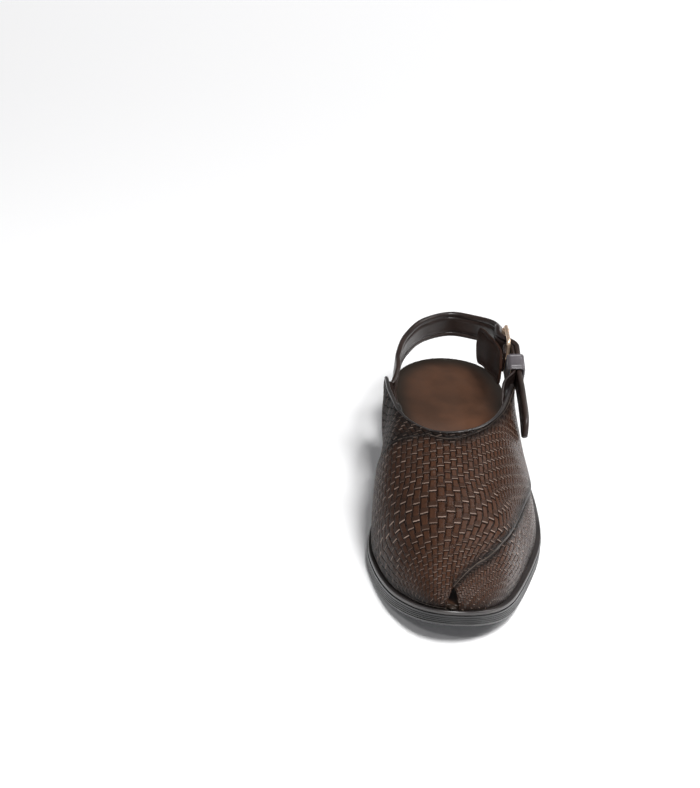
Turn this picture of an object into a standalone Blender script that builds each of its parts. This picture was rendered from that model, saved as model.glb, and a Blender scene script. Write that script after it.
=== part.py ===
"""A left peshawari chappal: a closed crossed vamp of two leather panels on a studded rubber sole,
with a heel strap buckled on the outer side. It stands on its sole, toe towards -Y, outer side at +X,
and z = 0 is the floor. The origin is under the middle of the heel."""

import math

import bmesh
import bpy
import numpy as np
from mathutils import Matrix, Vector

MM = 0.001

# Driving sizes of the sole
LENGTH = 298 * MM
BALL_WIDTH = 105.5 * MM
WAIST_WIDTH = 75.5 * MM
HEEL_WIDTH = 72.5 * MM
HEEL_HEIGHT = 31 * MM
HEEL_BLOCK_HEIGHT = 19 * MM
FOREPART_THICKNESS = 8.2 * MM
TOE_THICKNESS = 6.7 * MM
TOE_SPRING = 16.5 * MM
MIDSOLE_THICKNESS = 2.5 * MM
INSOLE_THICKNESS = 3 * MM
TREAD_STEP = 1.0 * MM
STUD_DEPTH = 1.1 * MM
FORE_STUD_RADIUS = 9.5 * MM
HEEL_STUD_RADIUS = 6.4 * MM
WELT_REVEAL = 3.4 * MM
REAR_REVEAL = 1.2 * MM
CLEARANCE = 0.3 * MM

# Driving sizes of the upper and its strap
INSTEP_HEIGHT = 60 * MM
WALL = 2.0 * MM
OVERLAY = 1.2 * MM
NOTCH_WIDTH = 7.4 * MM
NOTCH_HEIGHT = 9.5 * MM
STRAP_WIDTH = 17 * MM
STRAP_THICKNESS = 3.2 * MM
TAB_THICKNESS = 1.7 * MM
TAIL_ROUND = 10 * MM
WING_ROOM = 1.4 * MM
GUARD_WIDTH = 23 * MM
GUARD_THICKNESS = 1.6 * MM
GUARD_FRONT_ROUND = 4 * MM
GUARD_REAR_ROUND = 7 * MM
KEEPER_WIDTH = 12 * MM
KEEPER_THICKNESS = 1.5 * MM
BUCKLE_LENGTH = 22 * MM
BUCKLE_WIRE = 2.4 * MM
ROLLER_DIAMETER = 5 * MM
PRONG_WIRE = 2.0 * MM
EYELET_DIAMETER = 5.4 * MM
EYELET_FLANGE = 0.7 * MM

# Stations are shares of the length, from the heel's back at 0 to the toe's tip at 1
ORIGIN_STATION = 0.13
BREAST_OUTER = 0.245
BREAST_INNER = 0.300
WAIST_START = 0.27
WAIST_END = 0.56
ROCKER_START = 0.70
WING_END = 0.262

# The sole's outline: station, the width that the row follows, outer and inner half width as shares of it
OUTLINE = (
    (0.020, HEEL_WIDTH, 0.262, 0.262),
    (0.050, HEEL_WIDTH, 0.379, 0.391),
    (0.100, HEEL_WIDTH, 0.461, 0.483),
    (0.160, HEEL_WIDTH, 0.501, 0.501),
    (0.230, WAIST_WIDTH, 0.506, 0.461),
    (0.300, WAIST_WIDTH, 0.553, 0.422),
    (0.360, WAIST_WIDTH, 0.603, 0.397),
    (0.420, WAIST_WIDTH, 0.659, 0.416),
    (0.480, BALL_WIDTH, 0.517, 0.342),
    (0.530, BALL_WIDTH, 0.538, 0.402),
    (0.580, BALL_WIDTH, 0.542, 0.438),
    (0.640, BALL_WIDTH, 0.527, 0.459),
    (0.700, BALL_WIDTH, 0.492, 0.457),
    (0.760, BALL_WIDTH, 0.451, 0.429),
    (0.820, BALL_WIDTH, 0.407, 0.388),
    (0.880, BALL_WIDTH, 0.357, 0.332),
    (0.930, BALL_WIDTH, 0.2935, 0.2606),
    (0.965, BALL_WIDTH, 0.221, 0.193),
    (0.990, BALL_WIDTH, 0.124, 0.110),
)

# Studs of the forepart: station and place across as a share of the ball width, outer side positive
FORE_STUDS = (
    (0.845, 0.182), (0.920, 0.022), (0.736, 0.264), (0.781, 0.023), (0.858, -0.158), (0.628, 0.317),
    (0.679, 0.032), (0.761, -0.216), (0.521, 0.323), (0.577, 0.061), (0.660, -0.239), (0.558, -0.171),
)
# Studs of the heel: station and place across as a share of the heel width
HEEL_STUDS = ((0.204, 0.178), (0.145, 0.165), (0.223, -0.232), (0.163, -0.239), (0.102, -0.053))

# The collar from the inner wing's end (-1) over the throat (0) to the outer wing's end (1):
# across as a share of the ball width, station, and height above the midsole as a share of the instep
COLLAR = (
    (-1.00, -0.408, 0.300, 0.545),
    (-0.75, -0.384, 0.378, 0.690),
    (-0.50, -0.300, 0.476, 0.880),
    (-0.25, -0.152, 0.532, 0.960),
    (0.00, -0.030, 0.547, 1.000),
    (0.25, 0.090, 0.536, 1.015),
    (0.50, 0.205, 0.488, 0.950),
    (0.75, 0.290, 0.405, 0.760),
    (1.00, 0.345, 0.310, 0.600),
)
# The wall from the feather line to the collar bends between two handles, shares of the instep:
# outward and up from the feather line, then back towards the feather line and down from the collar
HANDLES = (
    (-1.00, 0.12, 0.20, 0.03, 0.20),
    (-0.75, 0.25, 0.32, 0.12, 0.23),
    (-0.50, 0.06, 0.50, 0.48, 0.06),
    (-0.25, 0.03, 0.38, 1.05, 0.22),
    (0.00, 0.00, 0.25, 1.50, 0.37),
    (0.25, 0.02, 0.34, 1.05, 0.25),
    (0.50, -0.01, 0.34, 0.44, 0.13),
    (0.75, -0.04, 0.26, 0.10, 0.19),
    (1.00, 0.00, 0.20, 0.00, 0.20),
)

# The top panel's edges on the vamp, as (share along the feather line, share of the wall's height):
# its rear edge on the inner side, then its front edge from the toe notch to the outer side
TOP_PANEL_REAR = (
    (-0.660, 0.100), (-0.640, 0.300), (-0.600, 0.470), (-0.525, 0.650),
    (-0.463, 0.783), (-0.375, 0.900), (-0.275, 0.967), (-0.137, 1.000),
)
TOP_PANEL_FRONT = (
    (0.000, 0.250), (0.025, 0.333), (0.062, 0.400), (0.113, 0.425), (0.188, 0.445), (0.288, 0.435),
    (0.413, 0.417), (0.538, 0.390), (0.650, 0.320), (0.760, 0.190), (0.820, 0.080), (0.850, 0.000),
)
PANEL_MARGIN = 0.02
PANEL_BEVEL = 0.006

# The strap's middle line: across as a share of the heel width, station, height above the midsole as a
# share of the instep, and how far the outward direction turns from the outer side towards the heel, degrees
STRAP_BACK = (
    (-0.500, 0.275, 0.400, 180.0),
    (-0.480, 0.190, 0.405, 172.0),
    (-0.400, 0.090, 0.400, 150.0),
    (-0.240, 0.018, 0.405, 118.0),
    (0.000, -0.016, 0.412, 90.0),
    (0.215, 0.004, 0.436, 62.0),
    (0.350, 0.047, 0.503, 36.0),
    (0.402, 0.105, 0.580, 9.0),
)
BUCKLE_PLACE = (0.425, 0.170, 0.720)
TAIL_FRONT = (
    (0.530, 0.285, 0.680, 0.0),
    (0.572, 0.342, 0.595, 2.0),
    (0.606, 0.396, 0.531, 6.0),
    (0.612, 0.424, 0.511, 6.0),
)
# How far in front of the buckle's bar the keeper sits, and the eyelets' distances from the tail's tip
KEEPER_DISTANCE = 13.5 * MM
# Where the buckle's tab ends inside the outer wing: shares along the feather line and of the wall's height
TAB_END = ((0.960, 0.990), (0.890, 0.840), (0.830, 0.700))
EYELET_DISTANCES = (11 * MM, 27 * MM)
# The guard flap's middle line, from the buckle's roller: forward, outward and down
GUARD_LINE = (
    (31 * MM, -4.45 * MM, 4 * MM),
    (14 * MM, -6.4 * MM, 6 * MM),
    (0 * MM, -9.0 * MM, 8.5 * MM),
    (-14 * MM, -10.6 * MM, 12 * MM),
    (-29 * MM, -13.0 * MM, 17 * MM),
)

LEATHER = ((0.030, 0.018, 0.013), 0.38, 0.0)
SMOOTH_LEATHER = ((0.022, 0.014, 0.012), 0.30, 0.0)
INSOLE_LEATHER = ((0.075, 0.042, 0.026), 0.45, 0.0)
RUBBER = ((0.020, 0.020, 0.021), 0.60, 0.0)
ROSE_GOLD = ((0.900, 0.640, 0.450), 0.20, 1.0)

PERIMETER_ROWS = 42
HEEL_ROWS = 18
FEATHER_COLUMNS = 41
ROWS_BELOW_PANEL = 3
PANEL_ROWS = 6
ROWS_ABOVE_PANEL = 4


def clear_scene():
    for obj in list(bpy.data.objects):
        bpy.data.objects.remove(obj, do_unlink=True)


def smoothstep(share):
    share = min(max(share, 0.0), 1.0)
    return share * share * (3.0 - 2.0 * share)


def through(keys, values, at):
    """A smooth curve through the rows (keys, values), read at `at`."""
    keys = np.asarray(keys, float)
    values = np.asarray(values, float)
    slopes = np.gradient(values, keys, axis=0)
    index = int(np.clip(np.searchsorted(keys, at) - 1, 0, len(keys) - 2))
    span = keys[index + 1] - keys[index]
    t = (min(max(at, keys[0]), keys[-1]) - keys[index]) / span
    start, end = values[index], values[index + 1]
    return (
        (2 * t**3 - 3 * t**2 + 1) * start
        + (t**3 - 2 * t**2 + t) * span * slopes[index]
        + (3 * t**2 - 2 * t**3) * end
        + (t**3 - t**2) * span * slopes[index + 1]
    )


def along(station):
    """Y of a station."""
    return (ORIGIN_STATION - station) * LENGTH


def station_of(y):
    return ORIGIN_STATION - y / LENGTH


def half_width(station, outer):
    """Half width of the sole, read over the angle of a half circle so that toe and heel come out round."""
    rows = [(0.0, 0.0)] + [(row[0], row[1] * row[2 if outer else 3]) for row in OUTLINE] + [(1.0, 0.0)]
    angles = [math.acos(1.0 - 2.0 * row[0]) for row in rows]
    angle = math.acos(1.0 - 2.0 * min(max(station, 0.0), 1.0))
    return float(through(angles, [row[1] for row in rows], angle))


def rocker(station):
    """0 under the ball, 1 at the toe's tip."""
    return max(0.0, (station - ROCKER_START) / (1.0 - ROCKER_START)) ** 2


def tread(station):
    """Height of the forepart's tread: flat under the ball, then up to the toe spring."""
    return TOE_SPRING * rocker(station)


def rise(station):
    """1 over the heel, 0 over the forepart."""
    return 1.0 - smoothstep((station - WAIST_START) / (WAIST_END - WAIST_START))


def deck(x, y):
    """Top of the outsole."""
    station = station_of(y)
    forepart = FOREPART_THICKNESS + rocker(station) * (TOE_THICKNESS - FOREPART_THICKNESS)
    return tread(station) + forepart + rise(station) * (HEEL_HEIGHT - forepart)


def underside(x, y):
    """Bottom of the outsole, which the heel's block stands under."""
    station = station_of(y)
    return tread(station) + rise(station) * HEEL_BLOCK_HEIGHT


def midsole_bottom(x, y):
    return deck(x, y) + CLEARANCE


def midsole_top(x, y):
    return midsole_bottom(x, y) + MIDSOLE_THICKNESS


def insole_bottom(x, y):
    return midsole_top(x, y) + CLEARANCE


def insole_top(x, y):
    return insole_bottom(x, y) + INSOLE_THICKNESS


def reveal(station):
    """How far inside the sole's edge the upper stands: the welt's ledge, narrower at the waist."""
    return REAR_REVEAL + (WELT_REVEAL - REAR_REVEAL) * smoothstep((station - 0.30) / 0.30)


def insole_margin(station):
    """The insole fills the upper in front and reaches nearly to the edge under the heel."""
    inside = reveal(station) + WALL + 4.0 * CLEARANCE
    return REAR_REVEAL + (inside - REAR_REVEAL) * smoothstep((station - 0.19) / 0.05)


def outline(first, last, rows):
    """Points round the sole between two stations: up the outer side, then down the inner side."""
    low, high = math.acos(1.0 - 2.0 * first), math.acos(1.0 - 2.0 * last)
    stations = [0.5 * (1.0 - math.cos(low + (high - low) * i / rows)) for i in range(rows + 1)]
    outer = [(half_width(s, True), along(s)) for s in stations]
    inner = [(-half_width(s, False), along(s)) for s in stations]
    closed_front = last >= 1.0
    back = inner[rows - 1 : 0 : -1] if closed_front else inner[rows:0:-1]
    return stations, outer + back


def outward_normals(points):
    """Unit normals in plan of a closed outline that runs clockwise seen from above."""
    points = np.asarray(points)
    tangent = np.roll(points, -1, axis=0) - np.roll(points, 1, axis=0)
    tangent /= np.linalg.norm(tangent, axis=1)[:, None]
    return np.stack([-tangent[:, 1], tangent[:, 0]], axis=1)


def finish(obj, collection, look):
    """Puts the object in its collection, gives it a material and shades it smooth."""
    colour, roughness, metallic = look
    material = bpy.data.materials.new(obj.name)
    material.use_nodes = True
    shader = material.node_tree.nodes["Principled BSDF"]
    shader.inputs["Base Color"].default_value = (*colour, 1.0)
    shader.inputs["Roughness"].default_value = roughness
    shader.inputs["Metallic"].default_value = metallic
    material.diffuse_color = (*colour, 1.0)
    obj.data.materials.append(material)
    collection.objects.link(obj)
    if obj.type == "MESH":
        obj.data.shade_smooth()
        obj.data.set_sharp_from_angle(angle=math.radians(35))
    return obj


def mesh_object(name, points, faces):
    mesh = bpy.data.meshes.new(name)
    mesh.from_pydata([tuple(p) for p in points], [], faces)
    work = bmesh.new()
    work.from_mesh(mesh)
    bmesh.ops.remove_doubles(work, verts=work.verts, dist=1e-7)
    bmesh.ops.recalc_face_normals(work, faces=work.faces)
    work.to_mesh(mesh)
    work.free()
    return bpy.data.objects.new(name, mesh)


def layer(name, first, last, profile, bottom, top, margin, columns, perimeter_rows=PERIMETER_ROWS):
    """One layer of the sole between two height functions.

    `profile` has the rings of its side, from below up: share of the height, and inset from the margin."""
    stations, base = outline(first, last, perimeter_rows)
    normals = outward_normals(base)
    base = np.asarray(base)
    margins = np.array([margin(station_of(y)) for _, y in base])
    points, faces = [], []
    count = len(base)
    for share, inset in profile:
        for x, y in base - normals * (margins + inset)[:, None]:
            low, high = bottom(x, y), top(x, y)
            points.append((x, y, low + share * (high - low)))
    for ring in range(len(profile) - 1):
        for i in range(count):
            a, b = ring * count + i, ring * count + (i + 1) % count
            faces.append((a, b, b + count, a + count))
    for ring, surface in ((0, bottom), (len(profile) - 1, top)):
        grid = []
        for row in range(len(stations)):
            outer_end = ring * count + row
            inner_end = ring * count + (count - row) % count
            if row == 0 or (last >= 1.0 and row == len(stations) - 1):
                grid.append([outer_end] * (columns + 1))
                continue
            line = [outer_end]
            for column in range(1, columns):
                mix = column / columns
                x = (1 - mix) * points[outer_end][0] + mix * points[inner_end][0]
                y = (1 - mix) * points[outer_end][1] + mix * points[inner_end][1]
                points.append((x, y, surface(x, y)))
                line.append(len(points) - 1)
            grid.append(line + [inner_end])
        for near, far in zip(grid, grid[1:]):
            for column in range(columns):
                corners = (near[column], near[column + 1], far[column + 1], far[column])
                corners = tuple(dict.fromkeys(corners))
                if len(corners) > 2:
                    faces.append(corners)
    return mesh_object(name, points, faces)


def slab(name, plan, bottom, top, rows, columns):
    """A closed block over a grid: `plan` gives x and y for shares along and across."""
    points, faces = [], []
    for surface in (bottom, top):
        for i in range(rows + 1):
            for j in range(columns + 1):
                x, y = plan(i / rows, j / columns)
                points.append((x, y, surface(x, y)))
    wide = columns + 1
    size = (rows + 1) * wide
    return mesh_object(name, points, block_faces(rows, columns, wide, size))


def block_faces(rows, columns, wide, size):
    """Faces of a grid and its copy `size` points later, closed round their four edges."""
    faces = []
    for i in range(rows):
        for j in range(columns):
            a = i * wide + j
            faces.append((a, a + 1, a + wide + 1, a + wide))
            faces.append((a + size, a + size + wide, a + size + wide + 1, a + size + 1))
    for i in range(rows):
        for a, b in ((i * wide, (i + 1) * wide), (i * wide + columns, (i + 1) * wide + columns)):
            faces.append((a, b, b + size, a + size))
    for j in range(columns):
        for a in (j, rows * wide + j):
            faces.append((a, a + 1, a + 1 + size, a + size))
    return faces


def boolean(obj, operation, cutter):
    modifier = obj.modifiers.new(operation.title(), "BOOLEAN")
    modifier.operation = operation
    modifier.solver = "EXACT"
    if isinstance(cutter, bpy.types.Collection):
        modifier.operand_type = "COLLECTION"
        modifier.collection = cutter
    else:
        modifier.object = cutter
    return modifier


def helper(obj, collection):
    """Marks a cutter or a form that only serves a Boolean."""
    obj.hide_render = True
    obj.display_type = "WIRE"
    collection.objects.link(obj)
    return obj


def stud_profile(radius, name):
    """Two closed rectangles that turn into the ring-shaped pockets round a stud's ring and button."""
    over = 2.0 * MM
    points, edges = [], []
    for inner, outer in ((0.58, 1.0), (0.33, 0.47)):
        start = len(points)
        for r, z in ((outer, STUD_DEPTH), (outer, -over), (inner, -over), (inner, STUD_DEPTH)):
            points.append((r * radius, 0.0, z))
        edges += [(start + k, start + (k + 1) % 4) for k in range(4)]
    mesh = bpy.data.meshes.new(name)
    mesh.from_pydata(points, edges, [])
    return mesh


def stud_cutters(name, places, width, radius, steps, surface, collection):
    mesh = stud_profile(radius, name)
    for number, (station, across) in enumerate(places, 1):
        cutter = bpy.data.objects.new(f"{name}_{number}", mesh)
        y = along(station)
        reach = 2.0 * MM
        slope = (surface(0.0, y + reach) - surface(0.0, y - reach)) / (2.0 * reach)
        cutter.location = (across * width, y, surface(0.0, y))
        cutter.rotation_euler = (math.atan(slope), 0.0, 0.0)
        turn = cutter.modifiers.new("Turn", "SCREW")
        turn.angle = 2.0 * math.pi
        turn.steps = steps
        turn.render_steps = steps
        turn.use_merge_vertices = True
        turn.merge_threshold = 1e-6
        helper(cutter, collection)


def breast(x):
    """Station of the heel's front face: it runs slantwise, further forward on the inner side."""
    middle = 0.5 * (BREAST_OUTER + BREAST_INNER)
    return middle - (BREAST_INNER - BREAST_OUTER) * x / HEEL_WIDTH


def build_outsole(parts, cutters, studs):
    edge = 0.8 * MM
    groove = 0.5 * MM
    sides = (
        (0.0, edge), (0.12, 0.0), (0.40, 0.0), (0.47, groove), (0.54, 0.0), (0.88, 0.0), (1.0, groove),
    )
    outsole = layer("outsole", 0.0, 1.0, sides, underside, deck, lambda s: 0.0, 2)

    def waist_plan(u, v):
        x = (v - 0.5) * 1.4 * BALL_WIDTH
        front = 0.427 - 0.059 * x / WAIST_WIDTH + 0.024 * (1.0 - (2.0 * v - 1.0) ** 2)
        back = breast(x) - 0.012
        return x, along(back + (front - back) * u)

    waist = slab(
        "waist_recess", waist_plan, lambda x, y: underside(x, y) - 6.0 * MM,
        lambda x, y: underside(x, y) + TREAD_STEP, 10, 8,
    )
    boolean(outsole, "DIFFERENCE", helper(waist, cutters))
    boolean(outsole, "DIFFERENCE", studs)
    return finish(outsole, parts, RUBBER)


def build_heel(parts, cutters, studs):
    edge = 0.8 * MM
    groove = 0.5 * MM
    sides = (
        (0.0, edge), (0.06, 0.0), (0.31, 0.0), (0.36, groove), (0.41, 0.0), (0.94, 0.0), (1.0, groove),
    )

    def heel_top(x, y):
        return underside(x, y) - CLEARANCE

    heel = layer("heel", 0.0, 0.36, sides, lambda x, y: 0.0, heel_top, lambda s: 0.0, 2, HEEL_ROWS)

    def front_plan(u, v):
        x = (v - 0.5) * 2.0 * HEEL_WIDTH
        return x, along(breast(x) + u * 0.25)

    front = slab("breast_cut", front_plan, lambda x, y: -5.0 * MM, lambda x, y: 2.0 * HEEL_BLOCK_HEIGHT, 1, 1)
    boolean(heel, "DIFFERENCE", helper(front, cutters))
    boolean(heel, "DIFFERENCE", studs)
    return finish(heel, parts, RUBBER)


def build_midsole(parts):
    chamfer = 0.4 * MM
    sides = ((0.0, chamfer), (0.25, 0.0), (0.70, 0.0), (1.0, chamfer))
    midsole = layer("midsole", 0.0, 1.0, sides, midsole_bottom, midsole_top, lambda s: CLEARANCE, 2)
    return finish(midsole, parts, SMOOTH_LEATHER)


def build_insole(parts, cutters):
    chamfer = 0.6 * MM
    sides = ((0.0, 0.0), (0.60, 0.0), (1.0, chamfer))
    insole = layer("insole", 0.0, 1.0, sides, insole_bottom, insole_top, insole_margin, 2)
    work = bmesh.new()
    bmesh.ops.create_uvsphere(work, u_segments=12, v_segments=8, radius=1.0)
    tip_mesh = bpy.data.meshes.new("insole_tip")
    work.to_mesh(tip_mesh)
    work.free()
    tip = bpy.data.objects.new("insole_tip", tip_mesh)
    tip_length = insole_margin(1.0)
    y = along(1.0) + tip_length
    tip.scale = (0.36 * NOTCH_WIDTH, tip_length - 1.2 * MM, 0.48 * INSOLE_THICKNESS)
    tip.location = (0.0, y, insole_bottom(0.0, y) + 0.5 * INSOLE_THICKNESS)
    slope = (insole_top(0.0, y) - insole_top(0.0, y - tip_length)) / tip_length
    tip.rotation_euler = (math.atan(slope), 0.0, 0.0)
    boolean(insole, "UNION", helper(tip, cutters))
    return finish(insole, parts, INSOLE_LEATHER)


def side_path(outer, rows=160):
    """The feather line on one side, from the toe's tip back to the wing's end, with its outward normals."""
    stations, points = outline(0.0, 1.0, rows)
    normals = outward_normals(points)
    margins = np.array([reveal(station_of(y)) for _, y in points])
    inset = np.asarray(points) - normals * margins[:, None]
    order = [i % len(points) for i in (range(rows, -1, -1) if outer else range(rows, 2 * rows + 1))]
    inset, normals = inset[order], normals[order]
    kept = inset[:, 1] <= along(WING_END)
    return inset[kept], normals[kept]


class Vamp:
    """The upper's outer face over (u, v): u runs along the feather line, v from it up to the collar."""

    def __init__(self):
        self.sides = {}
        for outer in (True, False):
            line, normals = side_path(outer)
            steps = np.linalg.norm(np.diff(line, axis=0), axis=1)
            run = np.concatenate([[0.0], np.cumsum(steps)])
            self.sides[outer] = (run / run[-1], line, normals)

    def foot(self, u):
        """Point of the feather line and its outward normal."""
        run, line, normals = self.sides[u >= 0.0]
        x, y = (np.interp(abs(u), run, line[:, k]) for k in (0, 1))
        nx, ny = (np.interp(abs(u), run, normals[:, k]) for k in (0, 1))
        return Vector((x, y, midsole_top(x, y) + CLEARANCE)), Vector((nx, ny, 0.0)).normalized()

    def collar(self, u):
        _, across, station, height = zip(*COLLAR)
        keys = [row[0] for row in COLLAR]
        x, s, h = through(keys, np.stack([across, station, height], axis=1), u)
        y = along(s)
        return Vector((x * BALL_WIDTH, y, midsole_top(0.0, y) + h * INSTEP_HEIGHT))

    def point(self, u, v):
        base, normal = self.foot(u)
        rim = self.collar(u)
        keys = [row[0] for row in HANDLES]
        out, up, back, down = through(keys, [row[1:] for row in HANDLES], u) * INSTEP_HEIGHT
        towards = Vector((base.x - rim.x, base.y - rim.y, 0.0))
        blend = smoothstep((abs(u) - 0.62) / 0.3)
        towards = (towards.normalized() * (1.0 - blend) + normal * blend).normalized()
        lower = base + normal * out + Vector((0.0, 0.0, up))
        upper = rim + towards * back - Vector((0.0, 0.0, down))
        w = 1.0 - v
        return base * w**3 + lower * (3 * w * w * v) + upper * (3 * w * v * v) + rim * v**3

    def normal(self, u, v):
        step = 1e-3
        along_u = self.point(min(u + step, 1.0), v) - self.point(max(u - step, -1.0), v)
        along_v = self.point(u, min(v + step, 1.0)) - self.point(u, max(v - step, 0.0))
        return along_u.cross(along_v).normalized()

    def offset(self, u, v, distance):
        """A point at a distance out of the face; at the feather line it stays level."""
        normal = self.normal(u, v)
        if v <= 0.0:
            normal.z = 0.0
            normal.normalize()
        return self.point(u, v) + normal * distance


def panel_range(u):
    """Lowest and highest share of the wall that the top panel covers at u. Behind the panel's rear
    edge nothing is covered, and the range only spreads the wall's rows."""
    rear, front = TOP_PANEL_REAR, TOP_PANEL_FRONT
    if u < rear[0][0]:
        behind = smoothstep((rear[0][0] - u) / 0.12)
        return PANEL_MARGIN + behind * 0.28, rear[0][1] + behind * 0.60
    low, high = PANEL_MARGIN, 1.0 - PANEL_MARGIN
    if u < rear[-1][0]:
        high = min(high, float(np.interp(u, *zip(*rear))))
    if front[0][0] <= u <= front[-1][0]:
        low = max(low, float(np.interp(u, *zip(*front))))
    return low, high


def spread(first, last, fixed, count):
    """About `count` evenly spread values between two ends, with the fixed ones among them."""
    even = np.linspace(first, last, count)
    gap = 0.4 * (last - first) / count
    kept = [value for value in even if min(abs(value - f) for f in fixed) > gap]
    return sorted(kept + list(fixed))


def wall_rows(u):
    """Shares of the wall's height at u, each with 1 where the top panel lies over it."""
    low, high = panel_range(u)
    covered = 1.0 if u >= TOP_PANEL_REAR[0][0] else 0.0
    rows = [(low * i / ROWS_BELOW_PANEL, 0.0) for i in range(ROWS_BELOW_PANEL + 1)]
    inside = high - low - 2.0 * PANEL_BEVEL
    rows += [(low + PANEL_BEVEL + inside * i / PANEL_ROWS, covered) for i in range(PANEL_ROWS + 1)]
    rows += [(high + (1.0 - high) * i / ROWS_ABOVE_PANEL, 0.0) for i in range(ROWS_ABOVE_PANEL + 1)]
    return rows


def build_upper(parts, cutters):
    """One hollow wall whose outer face steps up where the top panel crosses the lower one."""
    vamp = Vamp()
    edge = [row[0] for row in TOP_PANEL_REAR + TOP_PANEL_FRONT]
    front_start = TOP_PANEL_FRONT[0][0]
    fixed = [-1.0, edge[0] - PANEL_BEVEL, *edge, front_start - PANEL_BEVEL, 1.0]
    columns = spread(-1.0, 1.0, fixed, FEATHER_COLUMNS)
    inner, outer = [], []
    for u in columns:
        for v, covered in wall_rows(u):
            inner.append(vamp.offset(u, v, -WALL))
            outer.append(vamp.offset(u, v, covered * OVERLAY))
    wide = len(wall_rows(0.0))
    faces = block_faces(len(columns) - 1, wide - 1, wide, wide * len(columns))
    upper = mesh_object("upper", inner + outer, faces)

    toe = along(1.0)
    floor = midsole_top(0.0, toe)

    def notch_plan(u, v):
        return (v - 0.5) * NOTCH_WIDTH, toe - 5.0 * MM + u * 26.0 * MM

    def notch_roof(x, y):
        share = abs(2.0 * x / NOTCH_WIDTH)
        return floor + NOTCH_HEIGHT * (1.0 - 0.85 * share**1.6)

    notch = slab("toe_notch", notch_plan, lambda x, y: floor - 12.0 * MM, notch_roof, 1, 6)
    boolean(upper, "DIFFERENCE", helper(notch, cutters))
    return finish(upper, parts, LEATHER), vamp


def smooth_route(points, count):
    """`count` + 1 points at even steps on a smooth curve through the given rows."""
    points = np.asarray(points, float)
    steps = np.linalg.norm(np.diff(points[:, :3], axis=0), axis=1)
    keys = np.concatenate([[0.0], np.cumsum(steps)])
    fine = np.array([through(keys, points, at) for at in np.linspace(0.0, keys[-1], 12 * count + 1)])
    steps = np.linalg.norm(np.diff(fine[:, :3], axis=0), axis=1)
    run = np.concatenate([[0.0], np.cumsum(steps)])
    at = np.linspace(0.0, run[-1], count + 1)
    return np.stack([np.interp(at, run, fine[:, k]) for k in range(points.shape[1])], axis=1)


def ribbon(name, route, width, thickness, closed=False, round_start=0.0, round_end=0.0):
    """A flat strap along a route of rows x, y, z and its outward direction nx, ny, nz.

    A rounded end narrows over its length like half an ellipse."""
    route = np.asarray(route, float)
    centres, outward = route[:, :3], route[:, 3:6]
    count = len(centres)
    if closed:
        tangents = np.roll(centres, -1, axis=0) - np.roll(centres, 1, axis=0)
    else:
        tangents = np.gradient(centres, axis=0)
    run = np.concatenate([[0.0], np.cumsum(np.linalg.norm(np.diff(centres, axis=0), axis=1))])
    points, faces = [], []
    chamfer = 0.28 * thickness
    half_t = 0.5 * thickness
    for k in range(count):
        forward = Vector(tangents[k]).normalized()
        side = Vector(outward[k]).cross(forward).normalized()
        out = forward.cross(side).normalized()
        half_w = 0.5 * width
        if round_start and run[k] < round_start:
            half_w *= math.sqrt(max(0.08, 1.0 - (1.0 - run[k] / round_start) ** 2))
        if round_end and run[-1] - run[k] < round_end:
            half_w *= math.sqrt(max(0.08, 1.0 - (1.0 - (run[-1] - run[k]) / round_end) ** 2))
        centre = Vector(centres[k])
        for a, b in (
            (half_w, half_t - chamfer), (half_w - chamfer, half_t), (chamfer - half_w, half_t),
            (-half_w, half_t - chamfer), (-half_w, chamfer - half_t), (chamfer - half_w, -half_t),
            (half_w - chamfer, -half_t), (half_w, chamfer - half_t),
        ):
            points.append(centre + side * a + out * b)
    last = count if closed else count - 1
    for k in range(last):
        for j in range(8):
            a, b = k * 8 + j, k * 8 + (j + 1) % 8
            c, d = ((k + 1) % count) * 8 + j, ((k + 1) % count) * 8 + (j + 1) % 8
            faces.append((a, b, d, c))
    if not closed:
        faces.append(tuple(range(8)))
        faces.append(tuple((count - 1) * 8 + j for j in range(8)))
    return mesh_object(name, points, faces)


def place(across, station, height):
    """A point of the strap: across by the heel's width, height above the midsole by the instep."""
    y = along(station)
    return Vector((across * HEEL_WIDTH, y, midsole_top(0.0, y) + height * INSTEP_HEIGHT))


def heading(degrees):
    turn = math.radians(degrees)
    return Vector((math.cos(turn), math.sin(turn), 0.0))


class Buckle:
    """The buckle's own directions: forward along the strap, out of the foot, and across the strap."""

    def __init__(self):
        self.roller = place(*BUCKLE_PLACE)
        self.forward = Vector((0.06, -1.0, 0.02)).normalized()
        self.out = Vector((1.0, 0.0, 0.0))
        self.across = self.out.cross(self.forward).normalized()
        self.out = self.forward.cross(self.across).normalized()

    def at(self, forward, out, across=0.0):
        return self.roller + self.forward * forward + self.out * out + self.across * across


def wire(name, points, diameter, parts, cyclic=False):
    """A bent round wire as a curve."""
    curve = bpy.data.curves.new(name, "CURVE")
    curve.dimensions = "3D"
    curve.bevel_depth = 0.5 * diameter
    curve.bevel_resolution = 2
    curve.use_fill_caps = True
    spline = curve.splines.new("POLY")
    spline.points.add(len(points) - 1)
    for target, point in zip(spline.points, points):
        target.co = (*point, 1.0)
    spline.use_cyclic_u = cyclic
    return finish(bpy.data.objects.new(name, curve), parts, ROSE_GOLD)


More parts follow.
